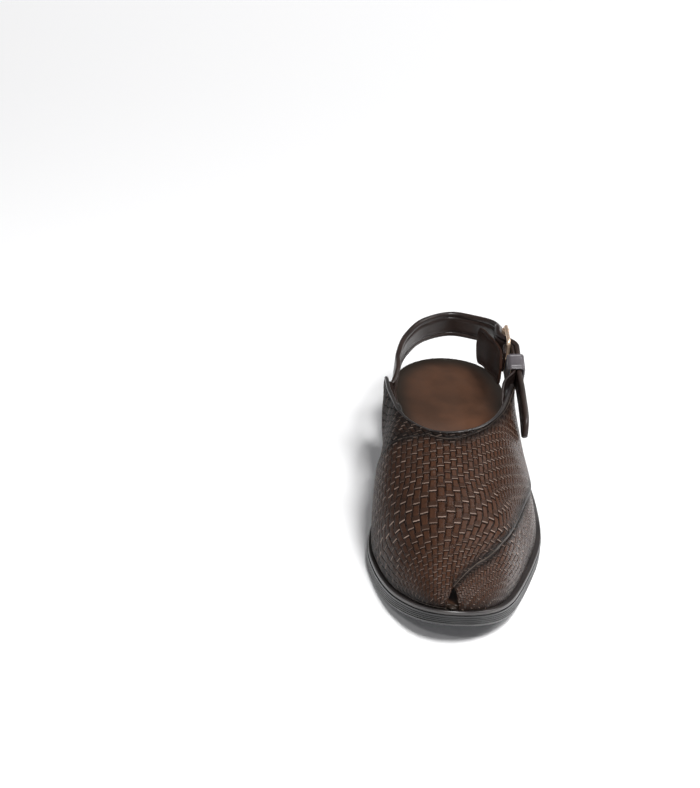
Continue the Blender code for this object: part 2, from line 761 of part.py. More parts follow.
def build_buckle(parts, buckle):
    half = 0.5 * STRAP_WIDTH + 1.5 * MM + 0.5 * BUCKLE_WIRE
    corner = 2.2 * MM
    loop = []
    for forward, across, start in (
        (BUCKLE_LENGTH - corner, half - corner, 0.0),
        (corner, half - corner, 0.5),
        (corner, corner - half, 1.0),
        (BUCKLE_LENGTH - corner, corner - half, 1.5),
    ):
        for k in range(4):
            turn = math.pi * (start + k / 6.0)
            loop.append(buckle.at(forward + corner * math.cos(turn), 0.0, across + corner * math.sin(turn)))
    wire("buckle_frame", loop, BUCKLE_WIRE, parts, cyclic=True)

    bore = 0.5 * BUCKLE_WIRE + CLEARANCE
    length = 2.0 * (half - corner) - 2.0 * CLEARANCE
    outer = 0.5 * ROLLER_DIAMETER
    corners = [(outer, length / 2), (outer, -length / 2), (bore, -length / 2), (bore, length / 2)]
    roller = turned("buckle_roller", corners, 14)
    turn = buckle.across.to_track_quat("Z", "Y").to_matrix().to_4x4()
    roller.matrix_world = Matrix.Translation(buckle.roller) @ turn
    finish(roller, parts, ROSE_GOLD)
    wire("buckle_prong", prong_points(buckle), PRONG_WIRE, parts)


def prong_points(buckle):
    """From its ring round the bar, up through the strap, to its rest on the roller."""
    ring = 0.5 * (BUCKLE_WIRE + PRONG_WIRE) + CLEARANCE
    rest = 0.5 * (ROLLER_DIAMETER + PRONG_WIRE) + CLEARANCE
    points = []
    for k in range(8):
        turn = math.radians(200.0 - 34.0 * (7 - k))
        points.append(buckle.at(BUCKLE_LENGTH + ring * math.cos(turn), ring * math.sin(turn)))
    points.append(buckle.at(0.72 * BUCKLE_LENGTH, 0.9 * MM))
    points.append(buckle.at(0.50 * BUCKLE_LENGTH, rest + 1.6 * MM))
    points.append(buckle.at(0.25 * BUCKLE_LENGTH, rest + 0.9 * MM))
    points.append(buckle.at(-0.06 * BUCKLE_LENGTH, rest))
    return points


def strap_route(vamp, buckle):
    """From inside the inner wing round the heel, through the buckle and forward to the tail's tip."""
    rows = []
    inside = WALL + 0.5 * STRAP_THICKNESS + WING_ROOM
    for u, v in ((-0.955, 0.64), (-0.985, 0.60)):
        rows.append((*vamp.offset(u, v, -inside), *vamp.normal(u, v)))
    for across, station, height, turn in STRAP_BACK:
        rows.append((*place(across, station, height), *heading(turn)))
    under = 0.5 * (ROLLER_DIAMETER + STRAP_THICKNESS) + CLEARANCE
    over = 0.5 * (BUCKLE_WIRE + STRAP_THICKNESS) + TAB_THICKNESS + 3.0 * CLEARANCE
    level = ROLLER_DIAMETER
    for forward, out in (
        (-level, -under),
        (0.6 * level, -under),
        (BUCKLE_LENGTH - 0.7 * level, over),
        (BUCKLE_LENGTH + 0.8 * level, over),
    ):
        rows.append((*buckle.at(forward, out), *buckle.out))
    for across, station, height, turn in TAIL_FRONT:
        rows.append((*place(across, station, height), *heading(turn)))
    return rows


def peg(name, start, end, radius, collection):
    """A round cutter between two points."""
    work = bmesh.new()
    bmesh.ops.create_cone(
        work, cap_ends=True, segments=10, radius1=radius, radius2=radius, depth=(end - start).length
    )
    mesh = bpy.data.meshes.new(name)
    work.to_mesh(mesh)
    work.free()
    cutter = bpy.data.objects.new(name, mesh)
    turn = (end - start).to_track_quat("Z", "Y").to_matrix().to_4x4()
    cutter.matrix_world = Matrix.Translation(0.5 * (start + end)) @ turn
    return helper(cutter, collection)


def build_strap(parts, cutters, vamp, buckle):
    route = smooth_route(strap_route(vamp, buckle), 62)
    strap = ribbon("heel_strap", route, STRAP_WIDTH, STRAP_THICKNESS, round_end=TAIL_ROUND)
    low, high = prong_points(buckle)[-4:-2]
    reach = (high - low).normalized() * 2.0 * STRAP_THICKNESS
    hole = peg("prong_hole", low - reach, high + reach, 0.5 * PRONG_WIRE + 2.0 * CLEARANCE, cutters)
    boolean(strap, "DIFFERENCE", hole)
    finish(strap, parts, SMOOTH_LEATHER)

    for number, distance in enumerate(EYELET_DISTANCES, 1):
        at, _, _, out = stand_on(route, route_length(route) - distance)
        outer, inner = 0.5 * EYELET_DIAMETER, 0.25 * EYELET_DIAMETER
        depth = out * STRAP_THICKNESS
        hole = peg(f"eyelet_hole_{number}", at - depth, at + depth, inner, cutters)
        boolean(strap, "DIFFERENCE", hole)
        crown = 0.6 * outer + 0.4 * inner
        flange = EYELET_FLANGE
        corners = [(outer, 0.4 * flange), (outer, 0.0), (inner, 0.0), (inner, flange), (crown, flange)]
        eyelet = turned(f"tail_eyelet_{number}", corners, 14)
        seat = at + out * (0.5 * STRAP_THICKNESS + CLEARANCE)
        eyelet.matrix_world = Matrix.Translation(seat) @ out.to_track_quat("Z", "Y").to_matrix().to_4x4()
        finish(eyelet, parts, ROSE_GOLD)
    return route


def route_run(route):
    """Distance from a route's start to each of its rows."""
    steps = np.linalg.norm(np.diff(route[:, :3], axis=0), axis=1)
    return np.concatenate([[0.0], np.cumsum(steps)])


def route_length(route):
    return float(route_run(route)[-1])


def stand_on(route, distance):
    """The point at a distance along a route, with its directions forward, across and out."""
    run = route_run(route)
    row = np.array([np.interp(distance, run, route[:, k]) for k in range(6)])
    ahead = np.array([np.interp(distance + MM, run, route[:, k]) for k in range(3)])
    behind = np.array([np.interp(distance - MM, run, route[:, k]) for k in range(3)])
    forward = Vector(ahead - behind).normalized()
    side = Vector(row[3:6]).cross(forward).normalized()
    return Vector(row[:3]), forward, side, forward.cross(side).normalized()


def distance_to(route, place):
    """Distance along a route to its row nearest to a place."""
    return float(route_run(route)[int(np.argmin(np.linalg.norm(route[:, :3] - np.array(place), axis=1)))])


def turned(name, corners, steps):
    """A closed profile of (radius, height) corners, running down its outer side, turned round Z."""
    mesh = bpy.data.meshes.new(name)
    count = len(corners)
    mesh.from_pydata([(r, 0.0, z) for r, z in corners], [(k, (k + 1) % count) for k in range(count)], [])
    obj = bpy.data.objects.new(name, mesh)
    turn = obj.modifiers.new("Turn", "SCREW")
    turn.angle = 2.0 * math.pi
    turn.steps = steps
    turn.render_steps = steps
    turn.use_merge_vertices = True
    turn.merge_threshold = 1e-6
    return obj


def build_chape_tab(parts, cutters, vamp, buckle, route):
    """The leather tab that folds round the buckle's bar and runs down inside the outer wing."""
    fold = 0.5 * (BUCKLE_WIRE + TAB_THICKNESS) + CLEARANCE
    inside = WALL + 0.5 * TAB_THICKNESS + WING_ROOM
    bar = BUCKLE_LENGTH
    rows = []
    for forward, out, down in ((5 * MM, -1.15 * fold, 1 * MM), (2 * MM, -1.05 * fold, 0.0)):
        rows.append((*buckle.at(bar + forward, out, down), *(-buckle.out)))
    for k in range(7):
        turn = math.pi * (1.5 - k / 6.0)
        facing = buckle.forward * math.cos(turn) + buckle.out * math.sin(turn)
        rows.append((*(buckle.at(bar, 0.0) + facing * fold), *facing))
    under_strap = 0.5 * (STRAP_THICKNESS + TAB_THICKNESS) + CLEARANCE
    start = distance_to(route, buckle.at(bar, 0.0))
    for share in (0.45, 0.85, 1.30):
        at, _, _, out = stand_on(route, start + share * KEEPER_DISTANCE)
        rows.append((*(at - out * under_strap), *out))
    for u, v in TAB_END:
        rows.append((*vamp.offset(u, v, -inside), *vamp.normal(u, v)))
    tab = ribbon("chape_tab", smooth_route(rows, 36), STRAP_WIDTH, TAB_THICKNESS, round_end=6.0 * MM)

    work = bmesh.new()
    bmesh.ops.create_cube(work, size=1.0)
    mesh = bpy.data.meshes.new("prong_slot")
    work.to_mesh(mesh)
    work.free()
    slot = bpy.data.objects.new("prong_slot", mesh)
    axes = Matrix((buckle.forward, buckle.out, buckle.across)).transposed().to_4x4()
    slot.matrix_world = Matrix.Translation(buckle.at(bar - 0.4 * fold, 0.0)) @ axes
    size = Matrix.Diagonal((3.4 * fold, 3.4 * fold, PRONG_WIRE + 4.0 * CLEARANCE, 1.0))
    mesh.transform(size)
    boolean(tab, "DIFFERENCE", helper(slot, cutters))
    return finish(tab, parts, SMOOTH_LEATHER)


def build_guard(parts, buckle):
    """The flap that lies between the buckle and the foot."""
    rows = [(*buckle.at(*line), *buckle.out) for line in GUARD_LINE]
    route = smooth_route(rows, 16)
    guard = ribbon(
        "guard_flap", route, GUARD_WIDTH, GUARD_THICKNESS, round_start=GUARD_FRONT_ROUND, round_end=GUARD_REAR_ROUND
    )
    return finish(guard, parts, INSOLE_LEATHER)


def build_keeper(parts, buckle, route):
    """The loop that holds the strap's tail down on the tab."""
    start = distance_to(route, buckle.at(BUCKLE_LENGTH, 0.0))
    at, _, side, out = stand_on(route, start + KEEPER_DISTANCE)
    stack = STRAP_THICKNESS + TAB_THICKNESS + 2.0 * CLEARANCE
    centre = at + out * (0.5 * (STRAP_THICKNESS - stack) - 2.0 * CLEARANCE)
    half_w = 0.5 * STRAP_WIDTH + 2.0 * CLEARANCE + 0.5 * KEEPER_THICKNESS
    half_t = 0.5 * stack + 4.0 * CLEARANCE + 0.5 * KEEPER_THICKNESS
    bend = 1.6 * MM
    rows = []
    for across, level, start in (
        (half_w - bend, half_t - bend, 0.0), (bend - half_w, half_t - bend, 0.5),
        (bend - half_w, bend - half_t, 1.0), (half_w - bend, bend - half_t, 1.5),
    ):
        for k in range(4):
            turn = math.pi * (start + k / 6.0)
            facing = side * math.cos(turn) + out * math.sin(turn)
            rows.append((*(centre + side * across + out * level + facing * bend), *facing))
    keeper = ribbon("keeper", rows, KEEPER_WIDTH, KEEPER_THICKNESS, closed=True)
    return finish(keeper, parts, SMOOTH_LEATHER)


def main():
    clear_scene()
    parts = bpy.data.collections.new("Peshawari chappal")
    cutters = bpy.data.collections.new("Cutters")
    fore_studs = bpy.data.collections.new("Forepart stud cutters")
    heel_studs = bpy.data.collections.new("Heel stud cutters")
    for collection in (parts, cutters, fore_studs, heel_studs):
        bpy.context.scene.collection.children.link(collection)
    stud_cutters("fore_stud", FORE_STUDS, BALL_WIDTH, FORE_STUD_RADIUS, 10, underside, fore_studs)
    stud_cutters("heel_stud", HEEL_STUDS, HEEL_WIDTH, HEEL_STUD_RADIUS, 9, lambda x, y: 0.0, heel_studs)
    build_outsole(parts, cutters, fore_studs)
    build_heel(parts, cutters, heel_studs)
    build_midsole(parts)
    build_insole(parts, cutters)
    _, vamp = build_upper(parts, cutters)
    buckle = Buckle()
    route = build_strap(parts, cutters, vamp, buckle)
    build_buckle(parts, buckle)
    build_chape_tab(parts, cutters, vamp, buckle, route)
    build_guard(parts, buckle)
    build_keeper(parts, buckle, route)


main()
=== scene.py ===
"""Looks of a left peshawari chappal: embossed leather vamp, studded rubber sole, buckled heel strap."""

import math

import bmesh
import bpy
import numpy as np
from mathutils import Matrix, Vector


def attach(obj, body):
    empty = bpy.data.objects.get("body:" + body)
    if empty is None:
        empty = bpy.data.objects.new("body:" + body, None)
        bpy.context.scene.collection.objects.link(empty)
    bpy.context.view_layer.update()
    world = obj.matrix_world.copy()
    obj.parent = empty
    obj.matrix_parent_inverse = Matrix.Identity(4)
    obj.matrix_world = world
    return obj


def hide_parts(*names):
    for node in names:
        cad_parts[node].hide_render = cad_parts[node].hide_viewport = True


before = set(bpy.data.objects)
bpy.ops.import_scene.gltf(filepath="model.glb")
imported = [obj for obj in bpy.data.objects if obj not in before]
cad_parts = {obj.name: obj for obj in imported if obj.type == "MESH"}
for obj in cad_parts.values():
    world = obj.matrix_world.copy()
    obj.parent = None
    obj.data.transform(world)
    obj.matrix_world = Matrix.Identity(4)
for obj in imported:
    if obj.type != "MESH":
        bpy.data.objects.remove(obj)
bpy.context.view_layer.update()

MM = 0.001

# Sizes of the sole, in metres
LENGTH = 298 * MM
BALL_WIDTH = 105.5 * MM
WAIST_WIDTH = 75.5 * MM
HEEL_WIDTH = 72.5 * MM
HEEL_HEIGHT = 31 * MM
HEEL_BLOCK_HEIGHT = 19 * MM
FOREPART_THICKNESS = 8.2 * MM
TOE_THICKNESS = 6.7 * MM
TOE_SPRING = 16.5 * MM
MIDSOLE_THICKNESS = 2.5 * MM
INSOLE_THICKNESS = 3 * MM
TREAD_STEP = 1.0 * MM
STUD_DEPTH = 1.1 * MM
FORE_STUD_RADIUS = 9.5 * MM
HEEL_STUD_RADIUS = 6.4 * MM
WELT_REVEAL = 3.4 * MM
REAR_REVEAL = 1.2 * MM
CLEARANCE = 0.3 * MM
RIM_SHADE = 16 * MM

# Sizes of the upper, its strap and its buckle
INSTEP_HEIGHT = 60 * MM
WALL = 2.0 * MM
OVERLAY = 1.2 * MM
NOTCH_WIDTH = 7.4 * MM
NOTCH_HEIGHT = 9.5 * MM
STRAP_WIDTH = 17 * MM
STRAP_THICKNESS = 3.2 * MM
TAB_THICKNESS = 1.7 * MM
WING_ROOM = 1.4 * MM
GUARD_WIDTH = 23 * MM
GUARD_THICKNESS = 1.6 * MM
KEEPER_WIDTH = 12 * MM
KEEPER_THICKNESS = 1.5 * MM
BUCKLE_LENGTH = 22 * MM
BUCKLE_WIRE = 2.4 * MM
ROLLER_DIAMETER = 5 * MM
PRONG_WIRE = 2.0 * MM
EYELET_DIAMETER = 5.4 * MM
EYELET_FLANGE = 0.7 * MM

# Stations are shares of the length, from the heel's back at 0 to the toe's tip at 1
ORIGIN_STATION = 0.13
BREAST_OUTER = 0.245
BREAST_INNER = 0.300
WAIST_START = 0.27
WAIST_END = 0.56
ROCKER_START = 0.70
WING_END = 0.262

# The sole's outline: station, the width that the row follows, outer and inner half width as shares of it
OUTLINE = (
    (0.020, HEEL_WIDTH, 0.262, 0.262),
    (0.050, HEEL_WIDTH, 0.379, 0.391),
    (0.100, HEEL_WIDTH, 0.461, 0.483),
    (0.160, HEEL_WIDTH, 0.501, 0.501),
    (0.230, WAIST_WIDTH, 0.506, 0.461),
    (0.300, WAIST_WIDTH, 0.553, 0.422),
    (0.360, WAIST_WIDTH, 0.603, 0.397),
    (0.420, WAIST_WIDTH, 0.659, 0.416),
    (0.480, BALL_WIDTH, 0.517, 0.342),
    (0.530, BALL_WIDTH, 0.538, 0.402),
    (0.580, BALL_WIDTH, 0.542, 0.438),
    (0.640, BALL_WIDTH, 0.527, 0.459),
    (0.700, BALL_WIDTH, 0.492, 0.457),
    (0.760, BALL_WIDTH, 0.451, 0.429),
    (0.820, BALL_WIDTH, 0.407, 0.388),
    (0.880, BALL_WIDTH, 0.357, 0.332),
    (0.930, BALL_WIDTH, 0.2935, 0.2606),
    (0.965, BALL_WIDTH, 0.221, 0.193),
    (0.990, BALL_WIDTH, 0.124, 0.110),
)

# Studs: station, and place across as a share of the ball's or the heel's width
FORE_STUDS = (
    (0.845, 0.182), (0.920, 0.022), (0.736, 0.264), (0.781, 0.023), (0.858, -0.158), (0.628, 0.317),
    (0.679, 0.032), (0.761, -0.216), (0.521, 0.323), (0.577, 0.061), (0.660, -0.239), (0.558, -0.171),
)
HEEL_STUDS = ((0.204, 0.178), (0.145, 0.165), (0.223, -0.232), (0.163, -0.239), (0.102, -0.053))
# The tread's fine dots: pitch and height
FORE_DOTS = (1.95 * MM, 0.32 * MM)
HEEL_DOTS = (1.45 * MM, 0.22 * MM)
# The side's fine ribs
RIB_DEPTH = 0.28 * MM

# The collar: place along the feather line, across by the ball's width, station, height by the instep
COLLAR = (
    (-1.00, -0.408, 0.300, 0.545),
    (-0.75, -0.384, 0.378, 0.690),
    (-0.50, -0.300, 0.476, 0.880),
    (-0.25, -0.152, 0.532, 0.960),
    (0.00, -0.030, 0.547, 1.000),
    (0.25, 0.090, 0.536, 1.015),
    (0.50, 0.205, 0.488, 0.950),
    (0.75, 0.290, 0.405, 0.760),
    (1.00, 0.345, 0.310, 0.600),
)
# The wall's two handles: outward and up from the feather line, back and down from the collar
HANDLES = (
    (-1.00, 0.12, 0.20, 0.03, 0.20),
    (-0.75, 0.25, 0.32, 0.12, 0.23),
    (-0.50, 0.06, 0.50, 0.48, 0.06),
    (-0.25, 0.03, 0.38, 1.05, 0.22),
    (0.00, 0.00, 0.25, 1.50, 0.37),
    (0.25, 0.02, 0.34, 1.05, 0.25),
    (0.50, -0.01, 0.34, 0.44, 0.13),
    (0.75, -0.04, 0.26, 0.10, 0.19),
    (1.00, 0.00, 0.20, 0.00, 0.20),
)
# The top panel's edges: share along the feather line, share of the wall's height
TOP_PANEL_REAR = (
    (-0.660, 0.100), (-0.640, 0.300), (-0.600, 0.470), (-0.525, 0.650),
    (-0.463, 0.783), (-0.375, 0.900), (-0.275, 0.967), (-0.137, 1.000),
)
TOP_PANEL_FRONT = (
    (0.000, 0.250), (0.025, 0.333), (0.062, 0.400), (0.113, 0.425), (0.188, 0.445), (0.288, 0.435),
    (0.413, 0.417), (0.538, 0.390), (0.650, 0.320), (0.760, 0.190), (0.820, 0.080), (0.850, 0.000),
)
PANEL_MARGIN = 0.02
PANEL_BEVEL = 0.006
# The upper's grid: columns along the feather line, rows below, on and above the top panel, and how many
# of them one cell of the plain inner face spans
UPPER_COLUMNS = 400
UPPER_ROWS = (56, 112, 32)
COARSE = 8

# The strap's middle line: across by the heel's width, station, height by the instep, heading in degrees
STRAP_BACK = (
    (-0.500, 0.275, 0.400, 180.0),
    (-0.480, 0.190, 0.405, 172.0),
    (-0.400, 0.090, 0.400, 150.0),
    (-0.240, 0.018, 0.405, 118.0),
    (0.000, -0.016, 0.412, 90.0),
    (0.215, 0.004, 0.436, 62.0),
    (0.350, 0.047, 0.503, 36.0),
    (0.402, 0.105, 0.580, 9.0),
)
BUCKLE_PLACE = (0.425, 0.170, 0.720)
TAIL_FRONT = (
    (0.530, 0.285, 0.680, 0.0),
    (0.572, 0.342, 0.595, 2.0),
    (0.606, 0.396, 0.531, 6.0),
    (0.612, 0.424, 0.511, 6.0),
)
KEEPER_DISTANCE = 13.5 * MM
EYELET_DISTANCES = (11 * MM, 27 * MM)
TAB_END = ((0.960, 0.990), (0.890, 0.840), (0.830, 0.700))
GUARD_LINE = (
    (31 * MM, -4.45 * MM, 4 * MM),
    (14 * MM, -6.4 * MM, 6 * MM),
    (0 * MM, -9.0 * MM, 8.5 * MM),
    (-14 * MM, -10.6 * MM, 12 * MM),
    (-29 * MM, -13.0 * MM, 17 * MM),
)

# The emboss: width of a strip and step of a row where they are widest, and how they narrow away from there
STRIP_WIDTH = 5.4 * MM
ROW_STEP = 4.9 * MM
EMBOSS_DEPTH = 0.34 * MM
WEAVE_MIDDLE = -9 * MM
WEAVE_SPREAD = 27 * MM
WEAVE_SCALE = (
    (0.0, 0.38, 0.26), (20.0, 0.44, 0.31), (38.0, 0.58, 0.44), (54.0, 0.80, 0.74),
    (70.0, 1.00, 1.00), (86.0, 0.95, 0.88), (102.0, 0.80, 0.58), (150.0, 0.70, 0.46),
)
LOWER_PANEL_TURN = math.radians(-22)

# Plain leathers: dark and light colour, roughness and specular level
SMOOTH_LEATHERS = {
    "strap_leather": ((0.014, 0.0090, 0.008), (0.034, 0.021, 0.017), 0.26, 0.38),
    "welt_leather": ((0.020, 0.017, 0.017), (0.036, 0.030, 0.028), 0.24, 0.8),
    "guard_leather": ((0.020, 0.0085, 0.0055), (0.040, 0.017, 0.010), 0.60, 0.12),
    # The keeper's colours are lighter and greyer than the strap's: a painted reflection on its gloss.
    "keeper_leather_painted_reflection": ((0.045, 0.040, 0.045), (0.090, 0.080, 0.088), 0.22, 0.6),
}

# The camera, fitted to the sole's edge and the insole in the 700 by 788 frame
VIEW_WIDTH, VIEW_HEIGHT = 700, 788
VIEW_YAW = math.radians(-1.9)
VIEW_ELEVATION = math.radians(28.0)
VIEW_ROLL = math.radians(5.17)
VIEW_DISTANCE = 2.6
VIEW_FOCAL_PIXELS = 4278
VIEW_SHIFT = (-60.9 * MM, 56.8 * MM)
VIEW_AIM = (0.0, -119.26 * MM, 30 * MM)
SENSOR = 36.0

# Soft boxes: place, width and power in watts
LIGHTS = {
    "top": ((0.30, -1.10, 1.65), 0.6, 43.0),
    "left": ((-1.5, 0.1, 1.2), 0.7, 1.0),
    "toe_gleam": ((-0.45, -1.6, 1.5), 0.18, 5.0),
    "throat_gleam": ((0.50, 0.85, 1.6), 0.18, 4.0),
    "right": ((1.5, 0.3, 1.2), 0.7, 14.0),
}
LIGHTS_AIM = (0.0, -0.1, 0.03)
ROOM_BRIGHTNESS = 0.10
FLOOR_REACH = 6.0


# Curves and heights of the sole

def through(keys, values, at):
    """A smooth curve through the rows (keys, values), read at the numbers `at`."""
    keys, values = np.asarray(keys, float), np.asarray(values, float)
    at = np.clip(np.asarray(at, float), keys[0], keys[-1])
    slopes = np.gradient(values, keys, axis=0)
    index = np.clip(np.searchsorted(keys, at) - 1, 0, len(keys) - 2)
    span = keys[index + 1] - keys[index]
    t = (at - keys[index]) / span
    if values.ndim > 1:
        t, span = t[..., None], span[..., None]
    return (
        (2 * t**3 - 3 * t**2 + 1) * values[index]
        + (t**3 - 2 * t**2 + t) * span * slopes[index]
        + (3 * t**2 - 2 * t**3) * values[index + 1]
        + (t**3 - t**2) * span * slopes[index + 1]
    )


def smoothstep(share):
    share = np.clip(share, 0.0, 1.0)
    return share * share * (3.0 - 2.0 * share)


def along(station):
    return (ORIGIN_STATION - station) * LENGTH


def station_of(y):
    return ORIGIN_STATION - y / LENGTH


def half_width(station, outer):
    rows = [(0.0, 0.0)] + [(row[0], row[1] * row[2 if outer else 3]) for row in OUTLINE] + [(1.0, 0.0)]
    angles = [math.acos(1.0 - 2.0 * row[0]) for row in rows]
    return through(angles, [row[1] for row in rows], np.arccos(1.0 - 2.0 * np.clip(station, 0.0, 1.0)))


def rocker(station):
    return np.maximum(0.0, (station - ROCKER_START) / (1.0 - ROCKER_START)) ** 2


def rise(station):
    return 1.0 - smoothstep((station - WAIST_START) / (WAIST_END - WAIST_START))


def zero(at):
    return 0.0 * at


def deck(y):
    station = station_of(y)
    forepart = FOREPART_THICKNESS + rocker(station) * (TOE_THICKNESS - FOREPART_THICKNESS)
    return TOE_SPRING * rocker(station) + forepart + rise(station) * (HEEL_HEIGHT - forepart)


def underside(y):
    station = station_of(y)
    return TOE_SPRING * rocker(station) + rise(station) * HEEL_BLOCK_HEIGHT


def midsole_top(y):
    return deck(y) + CLEARANCE + MIDSOLE_THICKNESS


def insole_top(y):
    return midsole_top(y) + CLEARANCE + INSOLE_THICKNESS


def reveal(station):
    return REAR_REVEAL + (WELT_REVEAL - REAR_REVEAL) * smoothstep((station - 0.30) / 0.30)


def insole_margin(station):
    inside = reveal(station) + WALL + 2.0 * CLEARANCE
    return REAR_REVEAL + (inside - REAR_REVEAL) * smoothstep((station - 0.19) / 0.05)


def breast(x):
    middle = 0.5 * (BREAST_OUTER + BREAST_INNER)
    return middle - (BREAST_INNER - BREAST_OUTER) * x / HEEL_WIDTH


def outline(first, last, rows):
    """Stations, and points round the sole: up the outer side, then down the inner side."""
    low, high = math.acos(1.0 - 2.0 * first), math.acos(1.0 - 2.0 * last)
    stations = 0.5 * (1.0 - np.cos(np.linspace(low, high, rows + 1)))
    outer = np.stack([half_width(stations, True), along(stations)], axis=1)
    inner = np.stack([-half_width(stations, False), along(stations)], axis=1)
    back = inner[rows - 1 : 0 : -1] if last >= 1.0 else inner[rows:0:-1]
    return stations, np.concatenate([outer, back])


def tangents_of(points, closed):
    if closed:
        return np.roll(points, -1, axis=0) - np.roll(points, 1, axis=0)
    return np.gradient(points, axis=0)


def outward_normals(points):
    tangent = tangents_of(points, True)
    tangent /= np.linalg.norm(tangent, axis=1)[:, None]
    return np.stack([-tangent[:, 1], tangent[:, 0]], axis=1)


# Meshes

def in_scene(name, data):
    obj = bpy.data.objects.new(name, data)
    bpy.context.scene.collection.objects.link(obj)
    return obj


def turn_outwards(mesh, merge=0.0):
    """Turns a mesh's faces outwards, once corners nearer than `merge` are joined."""
    work = bmesh.new()
    work.from_mesh(mesh)
    if merge:
        bmesh.ops.remove_doubles(work, verts=work.verts, dist=merge)
    bmesh.ops.recalc_face_normals(work, faces=work.faces)
    work.to_mesh(mesh)
    work.free()


def basic_mesh(name, create, *transforms, **sizes):
    """One of bmesh's own shapes, moved by the transforms in turn."""
    mesh = bpy.data.meshes.new(name)
    work = bmesh.new()
    create(work, **sizes)
    work.to_mesh(mesh)
    work.free()
    for transform in transforms:
        mesh.transform(transform)
    return mesh


def shade(mesh, name, values):
    """Keeps a number at each corner of a mesh for its finish to read."""
    mesh.attributes.new(name, "FLOAT", "POINT").data.foreach_set("value", np.asarray(values, np.float32))


def mesh_piece(name, points, faces, sharp=40.0):
    """A closed piece with its faces turned outwards and its sharp edges kept."""
    mesh = bpy.data.meshes.new(name)
    mesh.from_pydata(np.asarray(points, float).tolist(), [], faces)
    turn_outwards(mesh, 2e-7)
    obj = in_scene(name, mesh)
    smooth(obj, sharp)
    return obj


def smooth(obj, sharp=40.0):
    obj.data.shade_smooth()
    obj.data.set_sharp_from_angle(angle=math.radians(sharp))


def settle(obj):
    """Applies an object's modifiers to its mesh."""
    evaluated = obj.evaluated_get(bpy.context.evaluated_depsgraph_get())
    obj.data = bpy.data.meshes.new_from_object(evaluated)
    obj.modifiers.clear()
    return obj


def stand(obj, at, direction):
    """Stands an object at a place with its Z along a direction."""
    turn = direction.to_track_quat("Z", "Y").to_matrix().to_4x4()
    obj.matrix_world = Matrix.Translation(at) @ turn


def cut(obj, cutters, sharp):
    """Cuts the cutters out of the piece, one after another, removes them and smooths the piece."""
    for cutter in cutters:
        modifier = obj.modifiers.new("Cut", "BOOLEAN")
        modifier.operation = "DIFFERENCE"
        modifier.solver = "EXACT"
        modifier.object = cutter
    settle(obj)
    for cutter in cutters:
        bpy.data.objects.remove(cutter, do_unlink=True)
    smooth(obj, sharp)


def dress(obj, finish, slot, *nodes):
    """Gives a piece its finish, lets it ride, and hides the nodes that it stands for."""
    obj.data.materials.clear()
    obj.data.materials.append(finish)
    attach(obj, "root")
    if nodes:
        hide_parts(*nodes)
    return obj


def layer(name, first, last, profile, bottom, top, margin, rows, columns, dish=None):
    """One layer of the sole: `profile` has the rings of its side, as share of the height and inset."""
    stations, base = outline(first, last, rows)
    normals = outward_normals(base)
    margins = margin(station_of(base[:, 1]))
    count = len(base)
    rings = []
    for share, inset in profile:
        ring = base - normals * (margins + inset)[:, None]
        low, high = bottom(ring[:, 1]), top(ring[:, 1])
        rings.append(np.column_stack([ring, low + share * (high - low)]))
    points = [tuple(p) for p in np.concatenate(rings)]
    faces = ring_faces(len(profile), count)
    for ring, surface in ((0, bottom), (len(profile) - 1, top)):
        grid = []
        for row in range(len(stations)):
            outer_end = ring * count + row
            inner_end = ring * count + (count - row) % count
            if row == 0 or (last >= 1.0 and row == len(stations) - 1):
                grid.append([outer_end] * (columns + 1))
                continue
            start, end = np.array(points[outer_end]), np.array(points[inner_end])
            line = [outer_end]
            for column in range(1, columns):
                mix = column / columns
                x, y, _ = (1 - mix) * start + mix * end
                z = float(surface(y))
                if dish and ring:
                    z -= dish(mix, station_of(y))
                points.append((x, y, z))
                line.append(len(points) - 1)
            grid.append(line + [inner_end])
        for near, far in zip(grid, grid[1:]):
            for column in range(columns):
                corners = tuple(dict.fromkeys((near[column], near[column + 1], far[column + 1], far[column])))
                if len(corners) > 2:
                    faces.append(corners)
    return mesh_piece(name, points, faces)


def slab(name, plan, bottom, top, rows, columns):
    """A closed cutter over a grid: `plan` gives x and y for shares along and across."""
    points = []
    for surface in (bottom, top):
        for i in range(rows + 1):
            for j in range(columns + 1):
                x, y = plan(i / rows, j / columns)
                points.append((x, y, surface(x, y)))
    return mesh_piece(name, points, block_faces(rows, columns))


def grid_faces(start, rows, columns, flipped):
    """Faces of a grid whose corners are numbered row by row from `start`."""
    wide = columns + 1
    steps = (0, wide, wide + 1, 1) if flipped else (0, 1, wide + 1, wide)
    firsts = [start + i * wide + j for i in range(rows) for j in range(columns)]
    return [tuple(first + step for step in steps) for first in firsts]


def block_faces(rows, columns):
    wide = columns + 1
    size = (rows + 1) * wide
    faces = grid_faces(0, rows, columns, False) + grid_faces(size, rows, columns, True)
    for i in range(rows):
        for a, b in ((i * wide, (i + 1) * wide), (i * wide + columns, (i + 1) * wide + columns)):
            faces.append((a, b, b + size, a + size))
    for j in range(columns):
        for a in (j, rows * wide + j):
            faces.append((a, a + 1, a + 1 + size, a + size))
    return faces


def turned(name, corners, steps):
    """A closed profile of (radius, height) corners turned round Z, as a settled mesh."""
    mesh = bpy.data.meshes.new(name)
    count = len(corners)
    mesh.from_pydata([(r, 0.0, z) for r, z in corners], [(k, (k + 1) % count) for k in range(count)], [])
    obj = in_scene(name, mesh)
    turn = obj.modifiers.new("Turn", "SCREW")
    turn.angle = 2.0 * math.pi
    turn.steps = steps
    turn.render_steps = steps
    turn.use_merge_vertices = True
    turn.merge_threshold = 1e-6
    settle(obj)
    turn_outwards(obj.data)
    smooth(obj)
    return obj


def ring_faces(count, size, closed=False):
    """Faces between rings of `size` corners; closed joins the last ring to the first."""
    faces = []
    for k in range(count if closed else count - 1):
        ahead = (k + 1) % count
        for j in range(size):
            beside = (j + 1) % size
            faces.append((k * size + j, k * size + beside, ahead * size + beside, ahead * size + j))
    return faces


